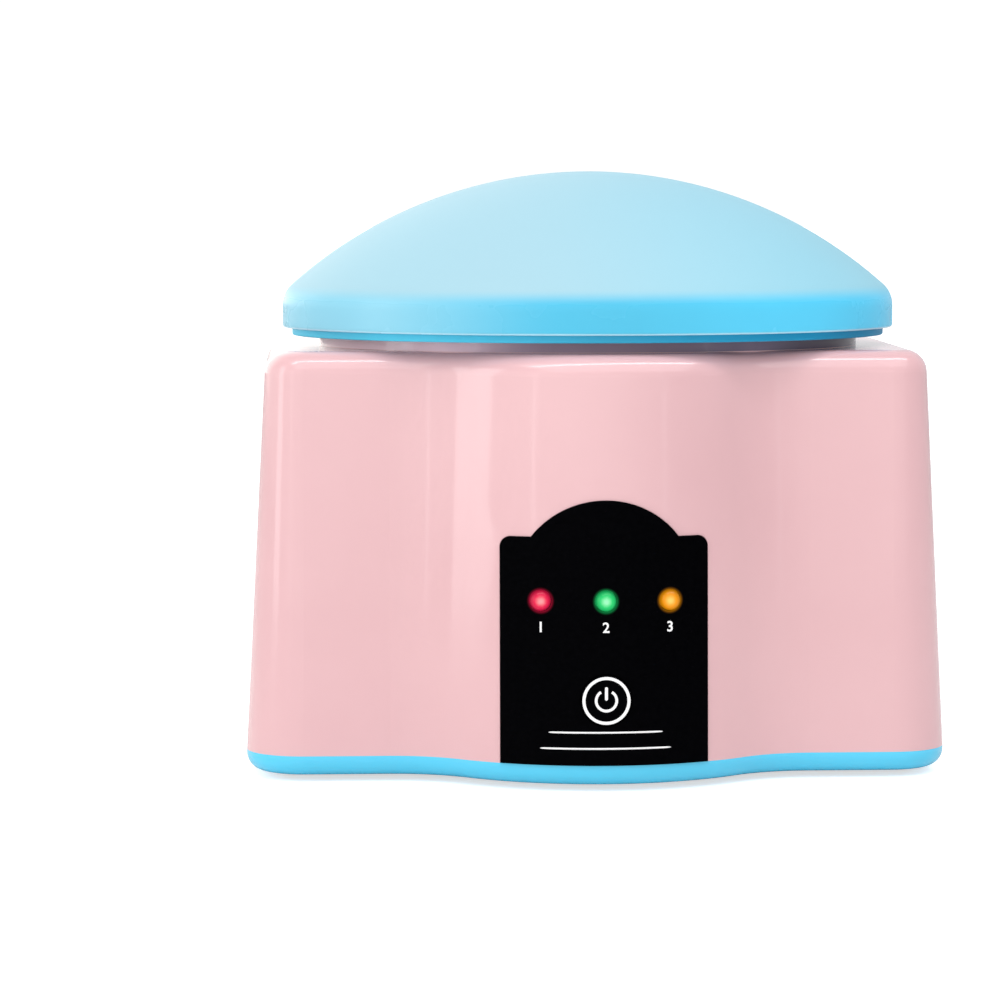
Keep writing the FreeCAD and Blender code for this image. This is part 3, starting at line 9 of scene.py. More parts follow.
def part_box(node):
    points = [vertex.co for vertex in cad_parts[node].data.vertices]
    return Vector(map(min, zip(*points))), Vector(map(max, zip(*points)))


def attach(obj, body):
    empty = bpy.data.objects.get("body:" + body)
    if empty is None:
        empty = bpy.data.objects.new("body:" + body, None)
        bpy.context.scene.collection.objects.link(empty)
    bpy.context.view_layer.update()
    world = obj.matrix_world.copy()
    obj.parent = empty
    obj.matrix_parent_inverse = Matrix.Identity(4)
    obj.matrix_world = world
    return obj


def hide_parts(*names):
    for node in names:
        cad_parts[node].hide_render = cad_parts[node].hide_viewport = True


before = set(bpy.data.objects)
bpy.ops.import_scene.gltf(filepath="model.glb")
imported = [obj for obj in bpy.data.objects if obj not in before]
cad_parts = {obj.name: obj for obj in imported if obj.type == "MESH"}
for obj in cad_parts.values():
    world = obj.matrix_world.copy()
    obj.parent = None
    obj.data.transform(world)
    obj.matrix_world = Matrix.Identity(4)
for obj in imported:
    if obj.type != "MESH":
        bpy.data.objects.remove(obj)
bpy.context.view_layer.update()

# Main housing: one injection moulding in gloss pink ABS, drafted towards the top, with a bowed
# front and an oval collar. It carries every other piece. The mould leaves an even high polish,
# with a faint drift in the pigment and a very fine orange peel.

MM = 0.001
TOP_FACE_Z = 103.0
COLLAR_TOP_Z = 109.5
COLLAR_HALF_LENGTH = 67.0
COLLAR_HALF_DEPTH = 45.5


class Wire:
    """A socket in a finish. Sums, differences and products of wires add Math nodes."""

    def __init__(self, tree, socket=None):
        self.tree = tree
        self.socket = socket

    def node(self, kind, settings=None, values=None, output=0):
        """Adds a node: its type, its settings first, then a value or a wire for each socket."""
        made = self.tree.nodes.new(kind)
        for name, setting in (settings or {}).items():
            setattr(made, name, setting)
        for name, value in (values or {}).items():
            if isinstance(value, Wire):
                self.tree.links.new(value.socket, made.inputs[name])
            else:
                made.inputs[name].default_value = value
        return Wire(self.tree, made.outputs[output] if made.outputs else None)

    def maths(self, operation, *values):
        """A Math node on the given values or wires."""
        return self.node("ShaderNodeMath", {"operation": operation}, dict(enumerate(values)))

    def __add__(self, other):
        return self.maths("ADD", self, other)

    __radd__ = __add__

    def __sub__(self, other):
        return self.maths("SUBTRACT", self, other)

    def __rsub__(self, other):
        return self.maths("SUBTRACT", other, self)

    def __mul__(self, other):
        return self.maths("MULTIPLY", self, other)

    __rmul__ = __mul__

    def step(self, low, high):
        """0 below low and 1 above high, with a smooth rise between them."""
        return self.node(
            "ShaderNodeMapRange",
            {"interpolation_type": "SMOOTHSTEP"},
            {"Value": self, "From Min": low, "From Max": high},
        )

    def tint(self, first, second):
        """The first colour where this wire is 0, the second where it is 1."""
        return self.node("ShaderNodeMix", {"data_type": "RGBA"}, {0: self, 6: first, 7: second}, 2)

    def split(self):
        """The three parts of this place: how far it lies across, back and up, in metres."""
        made = self.node("ShaderNodeSeparateXYZ", None, {"Vector": self}).socket.node
        return [Wire(self.tree, output) for output in made.outputs]

    def cloud(self, scale, detail):
        """Noise from 0 to 1 over this place, with features of about 1 / scale metres."""
        return self.node(
            "ShaderNodeTexNoise", None, {"Vector": self, "Scale": scale, "Detail": detail}
        )

    def relief(self, strength, depth):
        """The normal of a skin that rises by this wire times a depth in millimetres."""
        return self.node(
            "ShaderNodeBump",
            None,
            {"Strength": strength, "Distance": depth * MM, "Height": self},
        )


def rgb(red, green, blue):
    """A colour given as 0 to 255 for a screen, turned into the linear light a shader needs."""
    part = np.array([red, green, blue]) / 255
    linear = np.where(part <= 0.04045, part / 12.92, ((part + 0.055) / 1.055) ** 2.4)
    return (*linear.tolist(), 1.0)


def blank_finish(name):
    """A finish with no nodes yet, and a wire for the place of a point on the object."""
    material = bpy.data.materials.new(name)
    material.use_nodes = True
    material.node_tree.nodes.clear()
    return material, Wire(material.node_tree).node("ShaderNodeTexCoord", output=3)


def close_finish(material, values):
    """Ends a finish with its shader, which takes the given numbers, colours and wires."""
    start = Wire(material.node_tree)
    shader = start.node("ShaderNodeBsdfPrincipled", None, values)
    start.node("ShaderNodeOutputMaterial", None, {"Surface": shader})
    return material


def dress(material, *names):
    """Gives a finish to nodes that keep the shape they were made with."""
    for name in names:
        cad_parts[name].material_slots[0].material = material


def pink_housing():
    """Gloss pink, with painted shade on the front of the collar's outer wall, lit at left, darkest
    at right.

    The collar stands on the top face. Its outer wall lies outside an oval whose ratio, the squares
    of x and y over the squares of the collar's half sizes, comes to nearly one.
    """
    material, place = blank_finish("housing_pink")
    across, back, height = place.split()
    pigment = place.cloud(22, 3)
    smear = place.cloud(65, 4)
    peel = place.cloud(700, 3)
    oval_ratio = across * across * (COLLAR_HALF_LENGTH * MM) ** -2
    oval_ratio = oval_ratio + back * back * (COLLAR_HALF_DEPTH * MM) ** -2
    foot = height.step((TOP_FACE_Z + 0.04) * MM, (TOP_FACE_Z + 0.18) * MM)
    rim = height.step((COLLAR_TOP_Z + 0.01) * MM, (COLLAR_TOP_Z + 0.03) * MM)
    wall = oval_ratio.step(0.97, 0.99) * foot
    wall = wall * (1 - rim) * (1 - back.step(-12 * MM, 30 * MM))
    # Painted light and shade on the collar's wall under the cover: lit pale pink at the left,
    # shaded plum at the right.
    drifted = across + (smear - 0.5) * (30 * MM)
    painted_lit_to_shade = drifted.step(-65 * MM, 0.0).tint(rgb(255, 220, 228), rgb(176, 146, 172))
    painted_collar_shade = drifted.step(-5 * MM, 50 * MM).tint(painted_lit_to_shade, rgb(104, 94, 118))
    pink = pigment.tint(rgb(219, 174, 178), rgb(227, 184, 187))
    values = {
        "Base Color": wall.tint(pink, painted_collar_shade),
        "Roughness": (smear - 0.5) * 0.045 + 0.13,
        "Normal": peel.relief(0.5, 0.03),
        "IOR": 1.5,
        "Coat Weight": 0.3,
        "Coat Roughness": 0.04,
    }
    return close_finish(material, values)


dress(pink_housing(), "main_housing")

# Control panel: a thin facing of gloss black acrylic, arched at the top, bonded into a shallow
# seat in the bowed front. Round each lamp the lamp's light is painted on it as a faint glow. A
# number under each lamp and two plain rules are printed on it in a thin layer of white ink.

SEAM_Z = 6.5
BULGE_RADIUS = 54.0
BULGE_CENTRE_Y = -8.0
WALL_LEAN = 5.0
WALL_SLOPE = WALL_LEAN / (TOP_FACE_Z - SEAM_Z)
PANEL_PROUD = 0.5
LAMP_X = (-15.3, 0.0, 15.3)
LAMP_Z = 45.3
LAMP_COLOURS = (rgb(236, 34, 80), rgb(38, 210, 114), rgb(245, 154, 14))
GLOW_FULL, GLOW_END = 1.2, 3.3
DARK = (0.0, 0.0, 0.0, 1.0)
INK_RISE = 0.04
INK_ROOT = 0.2
NUMBER_HEIGHT = 3.4
NUMBER_SPREAD = 0.06
NUMBER_Z = 38.0
RULE_WIDTH = 0.42
# Each rule's length and its height above the table.
RULES = ((27.0, 14.4), (31.0, 10.6))
# Points that are nearer than this, in metres, are one point.
SAME_PLACE = 1e-7


def panel_front(x, z):
    """Front of the panel: an arc round the bulge's axis, whose radius shrinks with the draft."""
    radius = BULGE_RADIUS + PANEL_PROUD - WALL_SLOPE * (z - SEAM_Z)
    return BULGE_CENTRE_Y - np.sqrt(radius**2 - x**2)


def reach_in(arrow, kept):
    """The length of an arrow, counting only the axes that are kept."""
    flat = arrow.node("ShaderNodeVectorMath", {"operation": "MULTIPLY"}, {0: arrow, 1: kept})
    return arrow.node("ShaderNodeVectorMath", {"operation": "LENGTH"}, {0: flat}, 1)


def reach_from_lamp(place, x):
    """How far a place lies from a lamp's axis, which runs from front to back."""
    axis = (x * MM, 0.0, LAMP_Z * MM)
    arrow = place.node("ShaderNodeVectorMath", {"operation": "SUBTRACT"}, {0: place, 1: axis})
    return reach_in(arrow, (1.0, 0.0, 1.0))


def lamp_glow(reach, light):
    """A lamp's light: full near its axis, then a smooth fall to nothing; on the lenses and,
    painted, on the panel.
    """
    return reach.step(GLOW_FULL * MM, GLOW_END * MM).tint(light, DARK)


def gloss_black(name, lit):
    """Black acrylic: near-black pigment, a hard gloss and, if lit, lamp light painted round each
    lamp.
    """
    material, place = blank_finish(name)
    dust = place.cloud(900, 3)
    smear = place.cloud(90, 3)
    # Each lamp's light is painted on the panel round it as emission.
    painted_glow = DARK
    for x, light in zip(LAMP_X, LAMP_COLOURS if lit else ()):
        painted_halo = lamp_glow(reach_from_lamp(place, x), light)
        painted_glow = place.node(
            "ShaderNodeMix",
            {"data_type": "RGBA", "blend_type": "ADD"},
            {0: 1.0, 6: painted_glow, 7: painted_halo},
            2,
        )
    values = {
        "Base Color": dust.tint(rgb(0, 0, 1), rgb(5, 5, 7)),
        "Roughness": smear * 0.08 + 0.16,
        "Specular IOR Level": 0.01,
        "Emission Color": painted_glow,
        "Emission Strength": 1.0,
    }
    return close_finish(material, values)


dress(gloss_black("panel_black", True), "control_panel")


def printing_ink():
    """White printing ink, a little uneven in cover, with faint painted light that keeps it bright
    in the panel's shade.
    """
    material, place = blank_finish("white_ink")
    cover = place.cloud(2600, 3)
    values = {
        "Base Color": cover.tint(rgb(215, 215, 215), rgb(250, 250, 250)),
        "Roughness": cover * 0.2 + 0.45,
        # Painted light: a faint emission keeps the ink bright in the panel's shade.
        "Emission Color": (1.0, 1.0, 1.0, 1.0),
        "Emission Strength": 0.12,
    }
    return close_finish(material, values)


white_ink = printing_ink()


def fit(name, mesh, material, body, slot, *nodes):
    """Puts a finished mesh in the scene, on its body, for the nodes it stands for; slot is not
    used.
    """
    mesh.materials.append(material)
    made = bpy.data.objects.new(name, mesh)
    bpy.context.scene.collection.objects.link(made)
    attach(made, body)
    if nodes:
        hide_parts(*nodes)
    return made


def close_seams(mesh, fill=False):
    """Merges points that coincide, fills open ends if asked, and turns every face outwards."""
    work = bmesh.new()
    work.from_mesh(mesh)
    bmesh.ops.remove_doubles(work, verts=work.verts, dist=SAME_PLACE)
    if fill:
        bmesh.ops.holes_fill(work, edges=work.edges, sides=0)
    bmesh.ops.recalc_face_normals(work, faces=work.faces)
    work.to_mesh(mesh)
    work.free()


def closed_mesh(name, points, ring=False):
    """A mesh from rows of points in millimetres, each row running round the piece.

    Neighbouring rows are joined by four-sided faces. With ring, the last row joins the first;
    otherwise the first and last rows are poles or get closed by one face.
    """
    rows, columns = points.shape[:2]
    index = np.arange(rows * columns).reshape(rows, columns)
    if ring:
        index = np.vstack([index, index[:1]])
    low, high = index[:-1], index[1:]
    faces = np.stack([low, np.roll(low, -1, 1), np.roll(high, -1, 1), high], axis=-1)
    mesh = bpy.data.meshes.new(name)
    mesh.from_pydata((points.reshape(-1, 3) * MM).tolist(), [], faces.reshape(-1, 4).tolist())
    close_seams(mesh, fill=True)
    mesh.shade_smooth()
    return mesh


def printed(name, flat, lay, body):
    """White ink on a face: a flat shape, x across and y up, made a mesh and laid on the face.

    lay gives a point's place on the face from how far it is across, up and out.
    """
    curve = bpy.data.objects.new(name, flat)
    bpy.context.scene.collection.objects.link(curve)
    mesh = bpy.data.meshes.new_from_object(
        curve.evaluated_get(bpy.context.evaluated_depsgraph_get())
    )
    bpy.data.objects.remove(curve)
    points = np.empty(len(mesh.vertices) * 3)
    mesh.vertices.foreach_get("co", points)
    laid = np.stack(lay(*points.reshape(-1, 3).T), axis=1)
    mesh.vertices.foreach_set("co", (laid * MM).ravel())
    close_seams(mesh)
    mesh.materials.clear()
    fit(name, mesh, white_ink, body, "plate_white")


def under_a_lamp(x, up, out):
    """Lays ink on the panel's curve, at the height of the numbers."""
    z = up + NUMBER_Z
    return x, panel_front(x, z) - INK_RISE - out, z


for count, (x, figure) in enumerate(zip(LAMP_X, "123"), 1):
    text = bpy.data.curves.new("figure", "FONT")
    text.body = figure
    text.size = NUMBER_HEIGHT
    text.align_x = "CENTER"
    text.offset_x = x
    text.extrude = INK_RISE
    text.offset = NUMBER_SPREAD
    printed(f"lamp_number_{count}", text, under_a_lamp, "machine")


def rule_mesh(name, length, z):
    """A printed rule: rows of four corners along x, two in the panel and two just proud of it.

    Its half width falls off at both ends as the square root of one less a high power of x.
    """
    x = np.linspace(-length / 2, length / 2, 80)[:, None]
    half_width = np.sqrt(np.clip(1 - (2 * x / length) ** 24, 0.05, 1)) * RULE_WIDTH / 2
    up = z + half_width * np.array([-1.0, 1.0, 1.0, -1.0])
    sink = np.array([INK_ROOT, INK_ROOT, -INK_RISE, -INK_RISE])
    return closed_mesh(
        name, np.stack([np.broadcast_to(x, up.shape), panel_front(x, up) + sink, up], axis=-1)
    )


for count, (length, z) in enumerate(RULES, 1):
    name = f"panel_rule_{count}"
    fit(name, rule_mesh(name, length, z), white_ink, "machine", "plate_white")

# Indicator lamps: three 5 mm light-emitting diodes with tinted epoxy lenses, red, green and amber.
# Each is cast in one piece round its two leads, with a flange at the back of the lens, and its
# head comes through the panel. The chip's light leaves the middle of the lens nearly white.

LAMP_WORDS = ("red", "green", "amber")
LENS_MIDDLES = (rgb(255, 165, 165), rgb(165, 255, 196), rgb(255, 214, 110))
LENS_RADIUS = 2.47
LENS_HEAD = 1.9
LENS_BACK_Y = -49.6
FLANGE_RADIUS = 2.86
FLANGE_DEPTH = 1.0


def box_in_mm(name):
    """The lowest and highest corners of a node, in millimetres."""
    low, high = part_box(name)
    return np.array(low) / MM, np.array(high) / MM


def turned(name, profile, count=64, centre=(0.0, 0.0), axis="z", ring=False):
    """A turned piece: each row of the profile, a radius and a place on the axis, swept round it."""
    angle = np.linspace(0, 2 * np.pi, count, endpoint=False)
    radius, along = np.asarray(profile, float).T[:, :, None]
    first = centre[0] + radius * np.cos(angle)
    second = centre[1] + radius * np.sin(angle)
    along = np.broadcast_to(along, first.shape)
    order = [first, second, along] if axis == "z" else [first, along, second]
    return closed_mesh(name, np.stack(order, axis=-1), ring)


def lens_mesh(name, x, front):
    """A lens: the sine and cosine of a quarter turn give its head; a barrel and a flange follow."""
    rise = np.linspace(0, np.pi / 2, 14)
    head = np.stack([LENS_RADIUS * np.sin(rise), front + LENS_HEAD * (1 - np.cos(rise))], axis=1)
    back = LENS_BACK_Y
    flange = back - FLANGE_DEPTH
    rest = [
        (LENS_RADIUS, flange - 0.5),
        (LENS_RADIUS, flange - 0.08),
        (LENS_RADIUS + 0.08, flange),
        (FLANGE_RADIUS - 0.06, flange),
        (FLANGE_RADIUS, flange + 0.06),
        (FLANGE_RADIUS, back - 0.06),
        (FLANGE_RADIUS - 0.06, back),
        (FLANGE_RADIUS - 0.26, back),
        (0.0, back),
    ]
    return turned(name, np.vstack([head, rest]), centre=(x, LAMP_Z), axis="y")


def shade(colour, factor):
    """A lighter or darker colour: each part times a factor, and no brighter than 1."""
    return (*[min(1.0, part * factor) for part in colour[:3]], 1.0)


def lit_lens(name, x, colour, middle):
    """Tinted epoxy lit from inside: nearly white over the chip, full colour towards the edge."""
    material, place = blank_finish(name)
    reach = reach_from_lamp(place, x)
    grain = place.cloud(1500, 2)
    edge = (reach + (grain - 0.5) * (0.4 * MM)).step(0.1 * MM, 1.6 * MM)
    values = {
        "Base Color": shade(colour, 0.1),
        "Roughness": grain * 0.1 + 0.2,
        "Specular IOR Level": 0.2,
        "Emission Color": lamp_glow(reach, edge.tint(middle, colour)),
        "Emission Strength": 1.0,
    }
    return close_finish(material, values)


lamps = zip(LAMP_X, LAMP_COLOURS, LENS_MIDDLES, LAMP_WORDS)
for count, (x, colour, middle, word) in enumerate(lamps, 1):
    node = f"indicator_lamp_{count}"
    front = box_in_mm(node)[0][1]
    lens = lens_mesh(f"lamp_{count}", x, front)
    epoxy = lit_lens("lens_" + word, x, colour, middle)
    fit(f"lamp_lens_{count}", lens, epoxy, "machine", "lamp_" + word, node)

# Power button: a black ABS cap with a flange behind the panel, whose stem presses the red plunger
# of a tact switch on the board. A white ring and the standard power mark are pad-printed on its
# dished face.

BUTTON_Z = 22.0
BUTTON_RADIUS = 6.06
RING_RADII = (5.68, 4.95)
MARK_RADII = (2.75, 2.1)
MARK_GAP = math.radians(32)
BAR_LENGTH, BAR_WIDTH, BAR_CENTRE = 2.5, 0.72, 1.65
INK_SEAT = 0.01
# Each new piece keeps this far inside the box of the solid that it stands for.
CLEAR = 0.02

low, high = box_in_mm("power_button")
FACE_Y = low[1]
stem_end = high[1] - FACE_Y
button_face = np.array(
    [
        (0.0, 0.12),
        (2.0, 0.11),
        (4.0, 0.07),
        (5.2, 0.02),
        (5.6, 0.0),
        (5.8, 0.04),
        (5.96, 0.16),
        (6.04, 0.34),
        (BUTTON_RADIUS, 0.6),
        (BUTTON_RADIUS, 2.0),
    ]
)
flange_and_stem = [
    (6.1, 2.55),
    (7.2, 2.6),
    (7.36, 2.75),
    (7.36, 3.8),
    (7.2, 4.0),
    (2.1, 4.0),
    (1.95, 4.15),
    (1.95, stem_end - 0.3),
    (1.7, stem_end - CLEAR),
    (0.0, stem_end - CLEAR),
]
cap_profile = np.vstack([button_face, flange_and_stem]) + (0.0, FACE_Y)
cap = turned("button_cap", cap_profile, count=96, centre=(0.0, BUTTON_Z), axis="y")
button_black = gloss_black("button_black", False)
fit("power_button_cap", cap, button_black, "button", "button_black", "power_button")


def circle(radius, count=96, start=0.0, end=2 * np.pi):
    """Points at a radius: the cosine and sine of angles from start to end."""
    angle = np.linspace(start, end, count, endpoint=end - start < 2 * np.pi)
    return radius * np.stack([np.cos(angle), np.sin(angle)], axis=1)


def stadium(length, width):
    """A bar with round ends: two half circles a length apart, and points along both sides."""
    turn = np.linspace(-np.pi / 2, np.pi / 2, 24)
    right = np.stack([length / 2 + width / 2 * np.cos(turn), width / 2 * np.sin(turn)], axis=1)
    side = np.linspace(length / 2, -length / 2, 34)[1:-1]
    top = np.stack([side, np.full(len(side), width / 2)], axis=1)
    return np.vstack([right, top, -right, -top])


def outline(name, loops):
    """A flat shape from closed loops of points. A loop inside another is a hole."""
    flat = bpy.data.curves.new(name, "CURVE")
    flat.dimensions = "2D"
    flat.fill_mode = "BOTH"
    flat.extrude = INK_RISE
    for loop in loops:
        line = flat.splines.new("POLY")
        line.points.add(len(loop) - 1)
        line.points.foreach_set(
            "co", np.hstack([loop, np.zeros((len(loop), 1)), np.ones((len(loop), 1))]).ravel()
        )
        line.use_cyclic_u = True
    return flat


def on_the_button(x, up, out):
    """Lays ink on the button's dished face, whose depth is read from its profile."""
    face = np.interp(np.hypot(x, up), button_face[:, 0], button_face[:, 1])
    return x, FACE_Y + face - INK_SEAT - out, up + BUTTON_Z


arc = circle(1.0, 72, math.pi / 2 + MARK_GAP, math.pi * 2.5 - MARK_GAP)
prints = {
    "button_ring": [circle(radius) for radius in RING_RADII],
    "power_mark_arc": [np.vstack([arc * MARK_RADII[0], arc[::-1] * MARK_RADII[1]])],
    "power_mark_bar": [stadium(BAR_LENGTH, BAR_WIDTH)[:, ::-1] + (0.0, BAR_CENTRE)],
}
for name, loops in prints.items():
    printed(name, outline(name, loops), on_the_button, "button")


def moulded(name, colour, roughness, peel_depth=0.03, peel_scale=700, coat=0.0):
    """Moulded plastic: pigment that drifts, faint smears in its gloss, a fine peel in its skin."""
    material, place = blank_finish(name)
    pigment = place.cloud(22, 3)
    smear = place.cloud(65, 4)
    peel = place.cloud(peel_scale, 3)
    values = {
        "Base Color": pigment.tint(shade(colour, 0.95), shade(colour, 1.05)),
        "Roughness": (smear - 0.5) * (0.35 * roughness) + roughness,
        "Normal": peel.relief(0.5, peel_depth),
        "IOR": 1.5,
        "Coat Weight": coat,
        "Coat Roughness": 0.04,
    }
    return close_finish(material, values)


dress(moulded("plunger_red", rgb(176, 40, 36), 0.35), "switch_plunger")

# Control board: glass-epoxy with green solder mask over copper tracks, held behind the front by
# four screws. The switch, buzzer, capacitor, transistor and header are ordinary bought parts.


def solder_mask():
    """Green mask with tracks that show as slightly raised, lighter lines in a square grid."""
    material, place = blank_finish("board_green")
    upright = place.node(
        "ShaderNodeMapping", None, {"Vector": place, "Rotation": (math.pi / 2, 0.0, 0.0)}
    )
    tracks = place.node(
        "ShaderNodeTexBrick",
        {"offset": 0.5, "squash": 1.6},
        {"Vector": upright, "Scale": 170.0, "Mortar Size": 0.035, "Mortar Smooth": 0.3},
        1,
    )
    blotch = place.cloud(180, 3)
    base = blotch.tint(rgb(14, 92, 52), rgb(20, 112, 62))
    values = {
        "Base Color": tracks.tint(base, rgb(52, 150, 84)),
        "Roughness": blotch * 0.15 + 0.25,
        "Normal": tracks.relief(0.6, 0.05),
    }
    return close_finish(material, values)


def drawn_out(place, stretch, detail):
    """Noise drawn out into lines, with features of about 1 / stretch metres along each axis."""
    lines = place.node("ShaderNodeMapping", None, {"Vector": place, "Scale": stretch})
    return lines.cloud(1.0, detail)


def worked_metal(name, colour, roughness, stretch):
    """Metal with the fine lines of its making, long in one direction and narrow in the others."""
    material, place = blank_finish(name)
    lines = drawn_out(place, stretch, 4)
    stain = place.cloud(120, 3)
    values = {
        "Base Color": stain.tint(shade(colour, 0.9), colour),
        "Metallic": 1.0,
        "Roughness": lines * 0.12 + roughness,
        "Normal": lines.relief(0.4, 0.02),
    }
    return close_finish(material, values)


dress(solder_mask(), "control_board")
part_black = moulded("part_black", rgb(24, 24, 26), 0.42, peel_depth=0.05, peel_scale=2500)
dress(part_black, "tact_switch", "buzzer", "capacitor", "power_transistor")
dress(moulded("connector_white", rgb(232, 230, 220), 0.4), "wire_header")
steel = worked_metal("steel", rgb(196, 198, 202), 0.24, (3000, 3000, 400))
dress(steel, "board_screws")

# Supply jack: a barrel socket in black nylon, held in the back wall by a nickel-plated nut. Its
# finish is the same as the other black parts; the nut keeps the marks of its turning.

dress(part_black, "supply_jack")
nickel = worked_metal("nickel", rgb(206, 202, 190), 0.2, (2500, 300, 2500))
dress(nickel, "jack_nut")

# Steam well: a deep tub in white polypropylene that hangs by its flange on the collar's ledge.
# The heater's pad shows through the opening in its floor.

dress(moulded("well_white", rgb(236, 236, 232), 0.33, peel_depth=0.04), "steam_well")

# Heater: an aluminium plate, sealed to the well by a silicone ring. A screwed steel strap clamps a
# ceramic block and a pad of pressed glass fibre under it. A thermostat and a fuse in nickel-plated
# cases watch its heat.

SEAL_BORE = 22.1
BEAD_HEIGHT = 0.2
PAD_RINGS = (0.0, 0.45, 0.85)
PAD_EDGE_PULL = 0.06
PAD_CLEAR = 0.03

aluminium = worked_metal("aluminium", rgb(208, 210, 212), 0.3, (400, 3000, 3000))
dress(aluminium, "heater_plate")
dress(moulded("element_grey", rgb(146, 146, 142), 0.55, peel_depth=0.08), "heater_element")
dress(steel, "heater_strap", "strap_screws", "thermostat_screws")
dress(nickel, "thermostat", "thermal_fuse")


def silicone(name, colour, roughness=0.42):
    """Silicone rubber: a soft, slightly cloudy skin with the fine grain of its mould."""
    material, place = blank_finish(name)
    haze = place.cloud(160, 3)
    grain = place.cloud(2600, 2)
    values = {
        "Base Color": haze.tint(shade(colour, 0.93), colour),
        "Roughness": haze * 0.12 + roughness,
        "Normal": grain.relief(0.35, 0.04),
        "Subsurface Weight": 0.25,
        "Subsurface Radius": (0.002, 0.0015, 0.0012),
        "Subsurface Scale": 1.0,
    }
    return close_finish(material, values)


def soften(corners, trim, steps):
    """A closed profile with its corners rounded.

    Each corner is replaced by a parabola that leaves the sides a trim distance away, with one
    more point on each side beyond it, so that the flats stay flat when they are shaded.
    """
    corners = np.asarray(corners, float)
    trim = np.broadcast_to(np.asarray(trim, float), len(corners))[:, None]
    before = np.roll(corners, 1, 0) - corners
    after = np.roll(corners, -1, 0) - corners
    before /= np.linalg.norm(before[:, [0, -1]], axis=1, keepdims=True)
    after /= np.linalg.norm(after[:, [0, -1]], axis=1, keepdims=True)
    t = np.linspace(0, 1, steps)[None, :, None]
    start = (corners + before * trim)[:, None]
    end = (corners + after * trim)[:, None]
    bend = (1 - t) ** 2 * start + 2 * t * (1 - t) * corners[:, None] + t**2 * end
    lead = (corners + before * trim * 1.5)[:, None]
    tail = (corners + after * trim * 1.5)[:, None]
    return np.concatenate([lead, bend, tail], axis=1).reshape(-1, corners.shape[1])


silicone_grey = silicone("silicone_grey", rgb(150, 154, 158))
low, high = box_in_mm("heater_seal")
inner, outer = SEAL_BORE, high[0] - 0.1
middle = (inner + outer) / 2
base, crest = low[2] + CLEAR, high[2] - CLEAR
face = crest - BEAD_HEIGHT
gasket_profile = soften(
    [
        (inner, base),
        (outer, base),
        (outer, face),
        (middle + 0.7, face),
        (middle + 0.35, crest),
        (middle - 0.35, crest),
        (middle - 0.7, face),
        (inner, face),
    ],
    (0.2, 0.2, 0.2, 0.1, 0.1, 0.1, 0.1, 0.2),
    4,
)
gasket = turned("heater_gasket", gasket_profile, count=96, ring=True)
fit("heater_gasket", gasket, silicone_grey, "machine", "silicone_grey", "heater_seal")


def glass_fibre():
    """Pressed glass fibre: pale cream with crossing threads and a matt, hairy face."""
    material, place = blank_finish("insulation_cream")
    along = drawn_out(place, (300, 4000, 2000), 3)
    across = drawn_out(place, (4000, 300, 2000), 3)
    threads = place.maths("MAXIMUM", along, across)
    values = {
        "Base Color": threads.tint(rgb(196, 180, 142), rgb(236, 226, 198)),
        "Roughness": threads * 0.1 + 0.85,
        "Normal": threads.relief(0.7, 0.12),
    }
    return close_finish(material, values)


def pad_mesh(name, low, high):
    """A pad with soft edges, from rings that run round a rectangle, one above another.

    A circle divided by the larger of its cosine and sine is a square, which the pad's half sizes
    stretch. A cubic curve pulls the rings in near each face, and more rings carry each face to
    its middle, which is crowned a little.
    """
    turn = np.linspace(0, 2 * np.pi, 96, endpoint=False)
    square = np.maximum(np.abs(np.cos(turn)), np.abs(np.sin(turn)))
    half = (high - low) / 2
    centre = (high + low) / 2
    share = np.linspace(-1, 1, 17)
    pull = 1 - (1 - np.sqrt(1 - np.abs(share) ** 3)) * PAD_EDGE_PULL
    size = np.concatenate([PAD_RINGS, pull, PAD_RINGS[::-1]])[:, None]
    level = np.concatenate([[-1.0, -1.0, -0.99], share * 0.98, [0.99, 1.0, 1.0]])[:, None]
    x = centre[0] + size * half[0] * np.cos(turn) / square
    y = centre[1] + size * half[1] * np.sin(turn) / square
    z = np.broadcast_to(centre[2] + (half[2] - PAD_CLEAR) * level, x.shape)
    return closed_mesh(name, np.stack([x, y, z], axis=-1))


pad = pad_mesh("fibre_pad", *box_in_mm("insulation_pad"))
fibre = fit("fibre_pad", pad, glass_fibre(), "machine", "insulation_cream", "insulation_pad")

# Wiring: red supply leads and white heater leads with a soft PVC skin, which shows the slight
# ripple of the strands under it. They run inside the housing from jack to board to heater.

wire_red = moulded("wire_red", rgb(190, 30, 34), 0.38, peel_depth=0.1, peel_scale=900)
wire_white = moulded("wire_white", rgb(228, 228, 224), 0.4, peel_depth=0.1, peel_scale=900)
dress(wire_red, "supply_wires")
dress(wire_white, "heater_wires")

# Base tray: a shallow moulding in gloss sky blue that closes the housing from below. Four screws
# come up through it, and four feet of dark rubber are pressed into its underside.

FOOT_HOLLOW = 0.25

dress(moulded("base_blue", rgb(85, 208, 244), 0.16, coat=0.2), "base_tray")
dress(steel, "base_screws")


def foot_rubber():
    """Dark rubber: matt, with a dusty bloom in the low places of its grain."""
    material, place = blank_finish("foot_rubber")
    grain = place.cloud(1800, 4)
    bloom = place.cloud(240, 3)
    values = {
        "Base Color": (grain * bloom).tint(rgb(34, 34, 36), rgb(74, 74, 76)),
        "Roughness": bloom * 0.15 + 0.7,
        "Normal": grain.relief(0.6, 0.08),
    }
    return close_finish(material, values)


